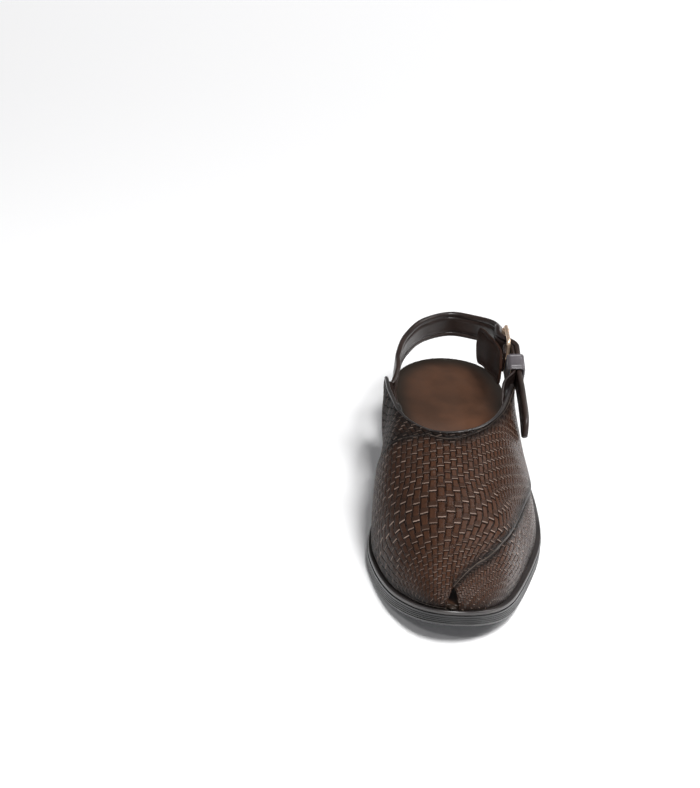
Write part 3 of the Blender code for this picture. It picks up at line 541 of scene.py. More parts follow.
def wire_faces(count, size, closed):
    """The same with a face at each end, unless the rings are closed."""
    faces = ring_faces(count, size, closed)
    if not closed:
        faces.append(tuple(range(size)))
        faces.append(tuple((count - 1) * size + j for j in range(size)))
    return faces


def ribbon(name, route, width, thickness, closed=False, round_start=0.0, round_end=0.0, crease=1.6 * MM):
    """A strap along rows x, y, z, nx, ny, nz, with rounded edges and a creased line along each edge."""
    route = np.asarray(route, float)
    centres, outward = route[:, :3], route[:, 3:6]
    tangents = tangents_of(centres, closed)
    run = route_run(route)
    half_t = 0.5 * thickness
    points = []
    corner = [(math.sin(math.radians(a)), math.cos(math.radians(a))) for a in (80, 55, 30, 8)]
    for k in range(len(centres)):
        forward = Vector(tangents[k]).normalized()
        side = Vector(outward[k]).cross(forward).normalized()
        out = forward.cross(side).normalized()
        half_w = 0.5 * width
        for length, reach in ((run[k], round_start), (run[-1] - run[k], round_end)):
            if reach and length < reach:
                half_w *= math.sqrt(max(0.004, 1.0 - (1.0 - length / reach) ** 2))
        radius = min(half_t, 0.6 * half_w)
        flat = half_w - radius
        line = min(crease, 0.5 * half_w)
        quarter = [(flat + radius * s, half_t * c) for s, c in corner]
        for shift, sink in ((0.25, 0.0), (0.0, 0.12 * thickness), (-0.25, 0.0)):
            quarter.append((flat - line + shift * MM, half_t - sink))
        quarter.append((0.35 * flat, half_t * 1.01))
        ring = quarter + [(-a, b) for a, b in reversed(quarter)]
        ring += [(-a, -b) for a, b in quarter] + [(a, -b) for a, b in reversed(quarter)]
        for a, b in ring:
            points.append(Vector(centres[k]) + side * a + out * b)
    return mesh_piece(name, points, wire_faces(len(centres), len(ring), closed), 60.0)


def tube(name, points, radius, cyclic=False, sides=14):
    """A bent round wire as a mesh, its ends closed with domes."""
    points = np.asarray([tuple(p) for p in points], float)
    tangents = tangents_of(points, cyclic)
    tangents /= np.linalg.norm(tangents, axis=1)[:, None]
    side = Vector(tangents[0]).orthogonal().normalized()
    spans = []
    for point, tangent in zip(points, tangents):
        forward = Vector(tangent)
        side = (side - forward * side.dot(forward)).normalized()
        spans.append((Vector(point), side, forward.cross(side), radius))
    if not cyclic:
        dome = [(math.cos(math.radians(a)), math.sin(math.radians(a))) for a in (30, 60, 82)]
        ends = []
        for span, forward in ((spans[0], -Vector(tangents[0])), (spans[-1], Vector(tangents[-1]))):
            ends.append([(span[0] + forward * radius * s, span[1], span[2], radius * c) for c, s in dome])
        spans = ends[0][::-1] + spans + ends[1]
    out = []
    for centre, across, up, size in spans:
        for j in range(sides):
            turn = 2.0 * math.pi * j / sides
            out.append(centre + across * size * math.cos(turn) + up * size * math.sin(turn))
    return mesh_piece(name, out, wire_faces(len(spans), sides, cyclic), 60.0)


def rounded_corners(low, high, half, radius):
    """Centres and directions round a rectangle with rounded corners, low to high by half each way."""
    for first, second, start in (
        (high - radius, half - radius, 0.0), (low + radius, half - radius, 0.5),
        (low + radius, radius - half, 1.0), (high - radius, radius - half, 1.5),
    ):
        for k in range(9):
            turn = math.pi * (start + k / 16.0)
            yield first, second, math.cos(turn), math.sin(turn)


# Routes of the strap

def route_run(route):
    steps = np.linalg.norm(np.diff(np.asarray(route)[:, :3], axis=0), axis=1)
    return np.concatenate([[0.0], np.cumsum(steps)])


def smooth_route(points, count):
    points = np.asarray(points, float)
    keys = route_run(points)
    fine = through(keys, points, np.linspace(0.0, keys[-1], 12 * count + 1))
    run = route_run(fine)
    at = np.linspace(0.0, run[-1], count + 1)
    return np.stack([np.interp(at, run, fine[:, k]) for k in range(points.shape[1])], axis=1)


def stand_on(route, distance):
    """The point at a distance along a route, with its directions forward, across and out."""
    run = route_run(route)
    behind, row, ahead = (
        np.array([np.interp(at, run, column) for column in route.T])
        for at in (distance - MM, distance, distance + MM)
    )
    forward = Vector((ahead - behind)[:3]).normalized()
    side = Vector(row[3:6]).cross(forward).normalized()
    return Vector(row[:3]), forward, side, forward.cross(side).normalized()


def distance_to(route, place):
    return float(route_run(route)[int(np.argmin(np.linalg.norm(route[:, :3] - np.array(place), axis=1)))])


def place(across, station, height):
    y = along(station)
    return Vector((across * HEEL_WIDTH, y, float(midsole_top(y)) + height * INSTEP_HEIGHT))


def heading(degrees):
    turn = math.radians(degrees)
    return Vector((math.cos(turn), math.sin(turn), 0.0))


class Buckle:
    """The buckle's directions: forward along the strap, out of the foot, and across the strap."""

    def __init__(self):
        self.roller = place(*BUCKLE_PLACE)
        self.forward = Vector((0.06, -1.0, 0.02)).normalized()
        self.across = Vector((1.0, 0.0, 0.0)).cross(self.forward).normalized()
        self.out = self.forward.cross(self.across).normalized()

    def at(self, forward, out, across=0.0):
        return self.roller + self.forward * forward + self.out * out + self.across * across


# The vamp

class Vamp:
    """The upper's outer face over u, along the feather line, and v, from it up to the collar."""

    def __init__(self):
        self.sides = {}
        rows = 200
        for outer in (True, False):
            _, points = outline(0.0, 1.0, rows)
            normals = outward_normals(points)
            inset = points - normals * reveal(station_of(points[:, 1]))[:, None]
            order = np.arange(rows, -1, -1) if outer else np.arange(rows, 2 * rows + 1)
            order = order % len(points)
            kept = inset[order][:, 1] <= along(WING_END)
            line, normals = inset[order][kept], normals[order][kept]
            run = route_run(line)
            self.sides[outer] = (run / run[-1], line, normals)

    def foot(self, u):
        base, normal = np.zeros((len(u), 3)), np.zeros((len(u), 3))
        for outer in (True, False):
            mine = (u >= 0.0) == outer
            run, line, normals = self.sides[outer]
            for k in (0, 1):
                base[mine, k] = np.interp(abs(u[mine]), run, line[:, k])
                normal[mine, k] = np.interp(abs(u[mine]), run, normals[:, k])
        base[:, 2] = midsole_top(base[:, 1]) + 0.4 * CLEARANCE
        return base, normal / np.linalg.norm(normal, axis=1)[:, None]

    def grid(self, u, v):
        """Points for a row of u and, for each of them, a row of v."""
        base, normal = self.foot(u)
        keys = [row[0] for row in COLLAR]
        across, station, height = through(keys, [row[1:] for row in COLLAR], u).T
        y = along(station)
        rim = np.stack([across * BALL_WIDTH, y, midsole_top(y) + height * INSTEP_HEIGHT], axis=1)
        out, up, back, down = (through(keys, [row[1:] for row in HANDLES], u) * INSTEP_HEIGHT).T
        towards = base - rim
        towards[:, 2] = 0.0
        towards /= np.linalg.norm(towards, axis=1)[:, None]
        blend = smoothstep((abs(u) - 0.62) / 0.3)[:, None]
        towards = towards * (1.0 - blend) + normal * blend
        towards /= np.linalg.norm(towards, axis=1)[:, None]
        lower, upper = base + normal * out[:, None], rim + towards * back[:, None]
        lower[:, 2] += up
        upper[:, 2] -= down
        w, v = (1.0 - v)[..., None], v[..., None]
        base, lower, upper, rim = (part[:, None, :] for part in (base, lower, upper, rim))
        return base * w**3 + lower * (3 * w * w * v) + upper * (3 * w * v * v) + rim * v**3

    def normals(self, u, v):
        step = 1e-3
        along_u = self.grid(np.minimum(u + step, 1.0), v) - self.grid(np.maximum(u - step, -1.0), v)
        along_v = self.grid(u, np.minimum(v + step, 1.0)) - self.grid(u, np.maximum(v - step, 0.0))
        normal = np.cross(along_u, along_v)
        normal[:, :, 2] = np.where(v <= 0.0, 0.0, normal[:, :, 2])
        return normal / np.linalg.norm(normal, axis=2)[:, :, None]

    def spot(self, u, v, distance):
        """One point at a distance out of the face, and the face's direction there."""
        us, vs = np.array([u]), np.array([[v]])
        normal = self.normals(us, vs)[0, 0]
        return Vector(self.grid(us, vs)[0, 0] + normal * distance), Vector(normal)


def panel_range(u):
    """Lowest and highest share of the wall that the top panel covers at each u."""
    rear, front = TOP_PANEL_REAR, TOP_PANEL_FRONT
    low = np.full(len(u), PANEL_MARGIN)
    high = np.full(len(u), 1.0 - PANEL_MARGIN)
    behind = smoothstep((rear[0][0] - u) / 0.12)
    before = u < rear[0][0]
    low[before] = PANEL_MARGIN + behind[before] * 0.28
    high[before] = rear[0][1] + behind[before] * 0.60
    middle = (u >= rear[0][0]) & (u < rear[-1][0])
    high[middle] = np.minimum(1.0 - PANEL_MARGIN, through(*zip(*rear), u[middle]))
    ahead = (u >= front[0][0]) & (u <= front[-1][0])
    low[ahead] = np.maximum(PANEL_MARGIN, through(*zip(*front), u[ahead]))
    return low, high


def weave_place(vamp, points):
    """Places on the leather before it was lasted: across from the ridge, and along it from the toe."""
    ridge = vamp.grid(np.zeros(1), np.linspace(0.0, 1.0, 200)[None, :])[0]
    y = points[..., 1]
    b = np.interp(y, ridge[:, 1], route_run(ridge)) + np.maximum(0.0, y - ridge[-1, 1])
    drop = np.interp(y, ridge[:, 1], ridge[:, 2]) - points[..., 2]
    x = points[..., 0] - np.interp(y, ridge[:, 1], ridge[:, 0])
    a = np.sign(x) * np.hypot(x, drop)
    keys = [row[0] * MM for row in WEAVE_SCALE]
    reach = np.linspace(0.0, 0.3, 1201)
    steps = 1.0 / (ROW_STEP * np.interp(reach, keys, [row[2] for row in WEAVE_SCALE]))
    rows = np.concatenate([[0.0], np.cumsum(0.5 * (steps[1:] + steps[:-1]) * np.diff(reach))])
    d = a - WEAVE_MIDDLE
    fanned = 2.0 * d - WEAVE_SPREAD * np.arctan(d / WEAVE_SPREAD)
    widths = STRIP_WIDTH * np.interp(b, keys, [row[1] for row in WEAVE_SCALE])
    return fanned / widths, np.interp(b, reach, rows)


def emboss(column, row):
    """Height of the strips, 0 to 1: one along the foot runs over two rows, then dives under one across."""
    fa, fb = column - np.floor(column), row - np.floor(row)
    phase = np.mod(np.floor(row) - np.floor(column), 3)
    t = (phase - 1.0 + fb) / 2.0
    side = abs(2.0 * fa - 1.0)
    gap = smoothstep((side - 0.62) / 0.22)
    strip = 0.82 - 0.50 * smoothstep((t - 0.84) / 0.16)
    below = 0.32 * (1.0 - (2.0 * fb - 1.0) ** 4)
    across = (1.0 - 0.30 * fb) * smoothstep(fb / 0.10)
    return np.where(phase > 0.5, strip * (1.0 - gap) + below * gap, across)


def snap(columns, wanted):
    for value in wanted:
        columns[int(np.argmin(abs(columns - value)))] = value
    return columns


def upper_shares():
    """The grid's shares u along the feather line and v up the wall, and where the top panel covers it."""
    below, panel, above = UPPER_ROWS
    u = np.linspace(-1.0, 1.0, UPPER_COLUMNS + 1)
    rear, front = TOP_PANEL_REAR[0][0], TOP_PANEL_FRONT[0][0]
    ends = (TOP_PANEL_REAR[-1][0], TOP_PANEL_FRONT[-1][0])
    u = snap(u, (rear - PANEL_BEVEL, rear, front - PANEL_BEVEL, front, *ends))
    low, high = (share[:, None] for share in panel_range(u))
    v = np.concatenate([
        low * np.linspace(0.0, 1.0, below + 1)[None, :-1],
        (low + PANEL_BEVEL) + (high - low - 2 * PANEL_BEVEL) * np.linspace(0.0, 1.0, panel + 1)[None],
        high + (1.0 - high) * np.linspace(0.0, 1.0, above)[None],
    ], axis=1)
    covered = np.zeros_like(v)
    covered[u >= rear, below : below + panel + 1] = 1.0
    return u, v, covered


def wall_faces(columns, rows):
    """Faces of the fine outer grid, of the coarse inner one, and of the four edges that join them."""
    wide, inner_wide = rows + 1, rows // COARSE + 1
    size = (columns + 1) * wide
    faces = grid_faces(0, columns, rows, True)
    faces += grid_faces(size, columns // COARSE, rows // COARSE, False)
    outer = np.arange(size).reshape(columns + 1, wide)
    inner = np.arange(size, size + (columns // COARSE + 1) * inner_wide).reshape(-1, inner_wide)
    edges = [[grid[:, 0], grid[:, -1], grid[0], grid[-1]] for grid in (outer, inner)]
    for fine, coarse in zip(*edges):
        fine, coarse = fine.tolist(), coarse.tolist()
        for k in range(len(coarse) - 1):
            for m in range(COARSE):
                corner = coarse[k] if m < COARSE // 2 else coarse[k + 1]
                faces.append((fine[COARSE * k + m], fine[COARSE * k + m + 1], corner))
            faces.append((fine[COARSE * k + COARSE // 2], coarse[k + 1], coarse[k]))
    return faces


def build_upper(vamp):
    """One hollow wall: a fine outer face with the emboss in it, over a plain inner face."""
    u, v, covered = upper_shares()
    points, normals = vamp.grid(u, v), vamp.normals(u, v)
    a, b = weave_place(vamp, points)
    c, s = math.cos(LOWER_PANEL_TURN), math.sin(LOWER_PANEL_TURN)
    share = ROW_STEP / STRIP_WIDTH
    weave_a = np.where(covered > 0.5, a, a * c - b * s * share)
    weave_b = np.where(covered > 0.5, b, a * s / share + b * c)
    edge = edge_distance(points, covered, v)
    calm = smoothstep((edge - 0.3 * MM) / (0.9 * MM))
    height = EMBOSS_DEPTH * (emboss(weave_a, weave_b) - 0.6) * calm
    outer = points + normals * (covered * OVERLAY + height)[..., None]
    inner_u, inner_v = u[::COARSE], v[::COARSE, ::COARSE]
    inner = vamp.grid(inner_u, inner_v) - vamp.normals(inner_u, inner_v) * WALL
    flat = np.concatenate([outer.reshape(-1, 3), inner.reshape(-1, 3)])
    mesh = bpy.data.meshes.new("upper_leather")
    mesh.from_pydata(flat.tolist(), [], wall_faces(UPPER_COLUMNS, sum(UPPER_ROWS)))
    shades = {
        "burnish": (burnish(edge, covered, u, v), 0.0),
        "calm": (1.0 - calm, 1.0),
        # The top panel's cut edge, where the finish paints a highlight.
        "cut_edge": (panel_change(covered) * covered, 0.0),
        "lining": (np.zeros(v.shape), 1.0),
        "weave_a": (weave_a, 0.0),
        "weave_b": (weave_b, 0.0),
    }
    for name, (shown, hidden) in shades.items():
        shade(mesh, name, np.append(shown, np.full(inner.size // 3, hidden)))
    turn_outwards(mesh)
    upper = in_scene("upper_leather", mesh)
    cut(upper, [toe_notch()], 50.0)
    return upper


def toe_notch():
    """The cutter of the small arched opening at the toe."""
    toe = along(1.0)
    floor = float(midsole_top(toe))

    def plan(p, q):
        return (q - 0.5) * NOTCH_WIDTH, toe - 5.0 * MM + p * 26.0 * MM

    def roof(x, y):
        return floor + NOTCH_HEIGHT * (1.0 - 0.85 * abs(2.0 * x / NOTCH_WIDTH) ** 2.2)

    return slab("toe_notch", plan, lambda x, y: floor - 12.0 * MM, roof, 1, 16)


def burnish(edge, covered, u, v):
    """How nearly black the leather is rubbed, 0 to 1: widest on the inner wing and along the feather line."""
    inner_wing = smoothstep((-u - 0.30) / 0.25)[:, None] * smoothstep((v - 0.35) / 0.3)
    toe = smoothstep((0.14 - abs(u)) / 0.14)[:, None] * smoothstep((0.35 - v) / 0.3)
    behind = smoothstep((v - 0.55) / 0.25)
    reach = np.where(covered > 0.5, 8.5 * MM, 6.5 * MM + 13.0 * MM * inner_wing + 9.0 * MM * behind)
    rubbed = 1.0 - smoothstep(edge / reach)
    low = 0.85 * (1.0 - smoothstep(v / 0.20))
    return np.clip(np.maximum.reduce([rubbed, low, 0.6 * toe]), 0.0, 1.0)


def panel_change(covered):
    """Marks both sides of each place where the top panel starts or ends up the wall."""
    change = np.zeros(covered.shape, bool)
    differs = covered[:, 1:] != covered[:, :-1]
    change[:, 1:] |= differs
    change[:, :-1] |= differs
    return change


def spread(distance, steps):
    """Carries distances along the first axis, forwards and back."""
    for i in range(1, len(distance)):
        distance[i] = np.minimum(distance[i], distance[i - 1] + steps[i])
    for i in range(len(distance) - 2, -1, -1):
        distance[i] = np.minimum(distance[i], distance[i + 1] + steps[i])


def edge_distance(points, covered, v):
    """Distance of each point to the nearest edge of its panel, at most 10 mm."""
    step_u = np.linalg.norm(np.gradient(points, axis=0), axis=2)
    step_v = np.linalg.norm(np.gradient(points, axis=1), axis=2)
    distance = np.full(v.shape, 10 * MM)
    distance[(v >= 1.0) | panel_change(covered) | panel_change(covered.T).T] = 0.0
    distance[0] = distance[-1] = 0.0
    for _ in range(2):
        spread(distance, step_u)
        spread(distance.T, step_v.T)
    return distance


# The sole

def stud_cutters(places, width, radius, surface):
    cutters = []
    over = 2.0 * MM
    for station, across in places:
        y = along(station)
        slope = (float(surface(y + over)) - float(surface(y - over))) / (2.0 * over)
        for inner, outer in ((0.58, 1.0), (0.33, 0.47)):
            corners = [
                (outer * radius, -over), (inner * radius, -over),
                (inner * radius, STUD_DEPTH), (outer * radius, STUD_DEPTH),
            ]
            cutter = turned("stud", corners, 36)
            cutter.location = (across * width, y, float(surface(y)))
            cutter.rotation_euler = (math.atan(slope), 0.0, 0.0)
            cutters.append(cutter)
    bpy.context.view_layer.update()
    return cutters


def ribbed_side(first, last, ribs, depth, edge):
    """Rings of a side with fine level ribs between two shares of its height."""
    rings = [(0.0, edge), (0.35 * first, 0.3 * edge), (0.8 * first, 0.0)]
    pitch = (last - first) / ribs
    for k in range(ribs):
        start = first + k * pitch
        rings += [(start, 0.0), (start + 0.22 * pitch, depth), (start + 0.44 * pitch, 0.0)]
    return rings + [(0.5 * (last + 1.0), 0.0), (0.97, 0.0), (1.0, 0.3 * MM)]


def build_outsole():
    outsole = layer(
        "outsole_rubber", 0.0, 1.0, ribbed_side(0.22, 0.90, 4, RIB_DEPTH, 0.8 * MM),
        underside, deck, zero, 150, 8,
    )

    def waist_plan(u, v):
        x = (v - 0.5) * 1.4 * BALL_WIDTH
        front = 0.427 - 0.059 * x / WAIST_WIDTH + 0.024 * (1.0 - (2.0 * v - 1.0) ** 2)
        back = breast(x) - 0.012
        return x, along(back + (front - back) * u)

    waist = slab(
        "waist_recess", waist_plan, lambda x, y: float(underside(y)) - 6.0 * MM,
        lambda x, y: float(underside(y)) + TREAD_STEP, 24, 16,
    )
    cut(outsole, [waist] + stud_cutters(FORE_STUDS, BALL_WIDTH, FORE_STUD_RADIUS, underside), 30.0)
    return outsole


def build_heel():
    heel = layer(
        "heel_rubber", 0.0, 0.36, ribbed_side(0.12, 0.94, 5, RIB_DEPTH, 0.8 * MM),
        zero, underside, zero, 64, 4,
    )

    def front_plan(u, v):
        x = (v - 0.5) * 2.0 * HEEL_WIDTH
        return x, along(breast(x) + u * 0.25)

    front = slab("breast_cut", front_plan, lambda x, y: -5.0 * MM, lambda x, y: 2.0 * HEEL_BLOCK_HEIGHT, 1, 1)
    cut(heel, [front] + stud_cutters(HEEL_STUDS, HEEL_WIDTH, HEEL_STUD_RADIUS, zero), 30.0)
    return heel


def tread_dots(name, dots, inside, studs, width, stud_radius, surface):
    """Small closed pyramids on a lattice turned by 45 degrees, clear of the studs."""
    points, faces = [], []
    pitch, height = dots
    half = 0.30 * pitch
    step = pitch / math.sqrt(2.0)
    sink = 0.15 * MM
    for row in range(-400, 401):
        y = row * step
        for column in range(-60, 61):
            x = (2 * column + row % 2) * step
            if not inside(x, y):
                continue
            if any(math.hypot(x - across * width, y - along(s)) < stud_radius + half for s, across in studs):
                continue
            z = float(surface(y))
            start = len(points)
            for dx, dy in ((-half, 0.0), (0.0, -half), (half, 0.0), (0.0, half)):
                points.append((x + dx, y + dy, float(surface(y + dy)) + sink))
            points.append((x, y, z - height))
            faces += [(start + k, start + (k + 1) % 4, start + 4) for k in range(4)]
            faces.append((start + 3, start + 2, start + 1, start))
    return mesh_piece(name, points, faces, 20.0)


# Materials

def math_node(operation):
    """A Signal's method that does one operation of the Math node."""
    return lambda self, *others: self.math(operation, *others)


class Signal:
    """A shader socket that can be added, multiplied and compared like a number."""

    def __init__(self, finish, socket):
        self.finish = finish
        self.socket = socket

    def math(self, operation, *others, clamp=False):
        values = dict(enumerate((self,) + others))
        return self.finish.add("Math", {"operation": operation, "use_clamp": clamp}, values)

    __add__ = __radd__ = math_node("ADD")
    __mul__ = __rmul__ = math_node("MULTIPLY")
    __sub__ = math_node("SUBTRACT")
    __pow__ = math_node("POWER")
    floor = math_node("FLOOR")
    fraction = math_node("FRACT")
    modulo = math_node("FLOORED_MODULO")
    over = math_node("GREATER_THAN")
    size = math_node("ABSOLUTE")

    def __rsub__(self, other):
        return self.finish.add("Math", {"operation": "SUBTRACT"}, {0: other, 1: self})

    def clamped(self):
        return self.math("ADD", 0.0, clamp=True)

    def ramp(self, low, high):
        settings = {"interpolation_type": "SMOOTHSTEP"}
        return self.finish.add("MapRange", settings, {"Value": self, "From Min": low, "From Max": high})


class Finish:
    """A material whose nodes are added one by one."""

    def __init__(self, name):
        self.material = bpy.data.materials.new(name)
        self.material.use_nodes = True
        self.tree = self.material.node_tree
        self.tree.nodes.clear()

    def add(self, kind, settings=None, values=None, output=0):
        node = self.tree.nodes.new("ShaderNode" + kind)
        for key, value in (settings or {}).items():
            setattr(node, key, value)
        for key, value in (values or {}).items():
            socket = node.inputs[key]
            if isinstance(value, Signal):
                self.tree.links.new(value.socket, socket)
            elif isinstance(value, tuple) and len(value) == 3 and socket.type == "RGBA":
                socket.default_value = (*value, 1.0)
            else:
                socket.default_value = value
        return Signal(self, node.outputs[output]) if node.outputs else None

    def attribute(self, name):
        return self.add("Attribute", {"attribute_name": name}, output=2)

    def place(self):
        return self.add("TexCoord", output=3)

    def noise(self, scale, detail=3.0, roughness=0.5, place=None):
        values = {"Vector": place or self.place(), "Scale": scale, "Detail": detail, "Roughness": roughness}
        return self.add("TexNoise", None, values)

    def axis(self, number):
        """The place along an axis of the shoe, in metres: 0 runs outwards, 1 backwards."""
        return self.add("SeparateXYZ", None, {"Vector": self.place()}, output=number)

    def spot(self, x, y):
        return self.add("CombineXYZ", None, {"X": x, "Y": y})

    def mix(self, share, first, second):
        """Colours mixed by a share; 6 and 7 are the node's colour inputs."""
        return self.add("Mix", {"data_type": "RGBA"}, {0: share, 6: first, 7: second}, output=2)

    def bump(self, height, distance, strength=1.0, normal=None):
        values = {"Height": height, "Distance": distance, "Strength": strength}
        if normal:
            values["Normal"] = normal
        return self.add("Bump", None, values)

    def surface(self, **values):
        named = {key.replace("_", " ").title().replace("Ior", "IOR"): value for key, value in values.items()}
        shader = self.add("BsdfPrincipled", None, named)
        self.add("OutputMaterial", None, {"Surface": shader})
        return self.material


def embossed_leather():
    """Brown leather pressed with a twill of strips, burnished nearly black at its edges, with painted shade
    in the emboss and on the inner side and painted highlights on the cells' front edges and the top panel's
    cut edge.
    """
    finish = Finish("embossed_leather")
    column, row = finish.attribute("weave_a"), finish.attribute("weave_b")
    burnish, lining = finish.attribute("burnish"), finish.attribute("lining")
    calm, cut_edge = finish.attribute("calm"), finish.attribute("cut_edge")
    column = column + (finish.noise(210.0, 2.0, 0.5) - 0.5) * 0.22
    row = row + (finish.noise(190.0, 2.0, 0.5) - 0.5) * 0.22
    fa, fb = column.fraction(), row.fraction()
    phase = (row.floor() - column.floor()).modulo(3.0)
    over = phase.over(0.5)
    t = (phase - 1.0 + fb) * 0.5
    side = (fa * 2.0 - 1.0).size()
    gap = side.ramp(0.62, 0.84)
    strip = 0.84 - t.ramp(0.78, 1.0) * 0.62 - (1.0 - t.ramp(0.0, 0.10)) * 0.2
    below = (1.0 - (fb * 2.0 - 1.0).size() ** 4.0) * 0.32
    across = (1.0 - fb * 0.30) * fb.ramp(0.0, 0.08) * (1.0 - side.ramp(0.86, 1.0) * 0.25)
    lengthwise = finish.noise(1.0, 3.0, 0.6, finish.spot(column * 9.0, row * 1.6))
    crosswise = finish.noise(1.0, 3.0, 0.6, finish.spot(column * 1.6, row * 11.0))
    fibres = over * lengthwise + (1.0 - over) * crosswise
    pressed = over * (strip * (1.0 - gap) + below * gap) + (1.0 - over) * across
    mottle = finish.noise(34.0, 3.0, 0.55)
    # The colour follows the emboss's height: painted shade in the grooves, along the foot of each raised edge
    # and where a strip dives under the next row.
    leather = finish.mix(pressed.ramp(0.15, 0.82), (0.0045, 0.0021, 0.0014), (0.064, 0.028, 0.0155))
    # Painted highlight along the front edge of each cell that runs across, brighter on some cells than on
    # others and dimmer where the leather is burnished.
    front_edge = (1.0 - over) * fb.ramp(0.0, 0.08) * (1.0 - fb.ramp(0.14, 0.26))
    front_edge = front_edge * (1.0 - side.ramp(0.86, 1.0))
    cell = finish.spot(column.floor() * 3.7, row.floor() * 5.3)
    patchy = finish.noise(1.0, 1.0, 0.5, cell).ramp(0.32, 0.62)
    painted_highlight = front_edge * (1.0 - burnish * 0.4) * (patchy * 0.75 + 0.25)
    # Painted shade on the inner side of the foot, which the light from the right leaves darker; the same mask
    # also makes the leather rougher there.
    medial = (finish.axis(0) * -1.0).ramp(0.005, 0.040)
    rubbed = (burnish + (mottle - 0.5) * 0.5 * burnish.ramp(0.0, 0.2)).clamped()
    for share, colour in (
        # Painted shade: the cells that run across are greyer and darker, as their tops slope back, away from
        # the light.
        ((1.0 - over) * 0.6, (0.033, 0.020, 0.015)),
        (fibres.ramp(0.42, 0.72) * 0.45, (0.011, 0.0055, 0.004)),
        (mottle.ramp(0.3, 0.75) * 0.4, (0.026, 0.012, 0.007)),
        # Painted shade on the inner side.
        (medial * 0.45, (0.006, 0.003, 0.002)),
        (rubbed * 0.94, (0.0030, 0.0022, 0.0019)),
        # Painted highlight on the cells' front edges.
        (painted_highlight, (0.30, 0.22, 0.18)),
        # Painted highlight along the top panel's cut edge.
        (cut_edge.ramp(0.5, 0.95) * 0.85, (0.10, 0.078, 0.064)),
        (lining, (0.035, 0.022, 0.016)),
    ):
        leather = finish.mix(share, leather, colour)
    height = (pressed + fibres * 0.22) * (1.0 - calm)
    shaped = finish.bump(height, 0.85 * MM)
    grain = finish.noise(1700.0, 3.0, 0.6)
    shaped = finish.bump(grain, 0.04 * MM, 0.5, shaped)
    roughness = grain * 0.12 + 0.16 + lining * 0.3 + mottle * 0.08 + rubbed * 0.12 + medial * 0.24
    return finish.surface(base_color=leather, roughness=roughness, normal=shaped, specular_ior_level=0.18)


def smooth_leather(name, dark, light, roughness, specular):
    """Plain dark leather with a fine grain and cloudy colour."""
    finish = Finish(name)
    cloud = finish.noise(55.0, 4.0, 0.6)
    grain = finish.noise(1500.0, 4.0, 0.6)
    pores = finish.noise(420.0, 2.0, 0.5)
    colour = finish.mix(cloud.ramp(0.3, 0.75), dark, light)
    shaped = finish.bump(pores, 0.06 * MM, 0.5)
    shaped = finish.bump(grain, 0.05 * MM, 0.5, shaped)
    shine = cloud * 0.12 + grain * 0.10 + roughness
    return finish.surface(base_color=colour, roughness=shine, normal=shaped, specular_ior_level=specular)


def insole_leather():
    """The foot bed: warm brown in the middle, darker towards its rim."""
    finish = Finish("insole_leather")
    rim = finish.attribute("rim")
    cloud = finish.noise(26.0, 4.0, 0.6)
    grain = finish.noise(1300.0, 4.0, 0.6)
    colour = finish.mix(cloud.ramp(0.35, 0.7), (0.058, 0.029, 0.0175), (0.100, 0.046, 0.026))
    colour = finish.mix(rim.ramp(0.0, 0.8), colour, (0.021, 0.015, 0.011))
    shaped = finish.bump(grain, 0.05 * MM, 0.5)
    shine = cloud * 0.1 + 0.36
    return finish.surface(base_color=colour, roughness=shine, normal=shaped, specular_ior_level=0.3)


def rubber():
    """Matt black rubber, a little dusty."""
    finish = Finish("rubber")
    dust = finish.noise(70.0, 5.0, 0.65)
    grain = finish.noise(1100.0, 3.0, 0.6)
    colour = finish.mix(dust.ramp(0.35, 0.8), (0.0055, 0.0055, 0.006), (0.014, 0.0137, 0.0145))
    shaped = finish.bump(grain, 0.04 * MM, 0.6)
    return finish.surface(
        base_color=colour, roughness=dust * 0.2 + 0.30, normal=shaped, specular_ior_level=0.6,
        coat_weight=0.15, coat_roughness=0.25,
    )


def rose_gold():
    """Polished plate with faint brushing."""
    finish = Finish("rose_gold")
    haze = finish.noise(260.0, 3.0, 0.6)
    colour = finish.mix(haze.ramp(0.3, 0.8), (0.97, 0.70, 0.50), (1.0, 0.82, 0.65))
    shaped = finish.bump(haze, 0.02 * MM, 0.4)
    return finish.surface(base_color=colour, metallic=0.9, roughness=haze * 0.12 + 0.34, normal=shaped)


def floor_finish():
    """Pale paper that glows a little further back, as a lit studio sweep does."""
    finish = Finish("floor_paper")
    tone = finish.noise(3.0, 2.0, 0.5)
    colour = finish.mix(tone, (0.87, 0.87, 0.875), (0.89, 0.89, 0.89))
    glow = finish.mix(finish.axis(1).ramp(0.25, 1.5), (0.05, 0.05, 0.053), (0.50, 0.50, 0.51))
    return finish.surface(base_color=colour, roughness=0.9, emission_color=glow, emission_strength=1.0)


# The strap and its buckle

def strap_route(vamp, buckle):
    """The strap's middle line, from inside the inner wing round the heel to the tail's tip."""
    rows = []
    inside = WALL + 0.5 * STRAP_THICKNESS + WING_ROOM
    for u, v in ((-0.955, 0.64), (-0.985, 0.60)):
        at, normal = vamp.spot(u, v, -inside)
        rows.append((*at, *normal))
    under = 0.5 * (ROLLER_DIAMETER + STRAP_THICKNESS) + CLEARANCE
    over = 0.5 * (BUCKLE_WIRE + STRAP_THICKNESS) + TAB_THICKNESS + 3.0 * CLEARANCE
    roll, bar = ROLLER_DIAMETER, BUCKLE_LENGTH
    held = ((-roll, -under), (0.6 * roll, -under), (bar - 0.7 * roll, over), (bar + 0.8 * roll, over))
    rows += [(*place(*row[:3]), *heading(row[3])) for row in STRAP_BACK]
    rows += [(*buckle.at(forward, out), *buckle.out) for forward, out in held]
    rows += [(*place(*row[:3]), *heading(row[3])) for row in TAIL_FRONT]
    return smooth_route(rows, 260)


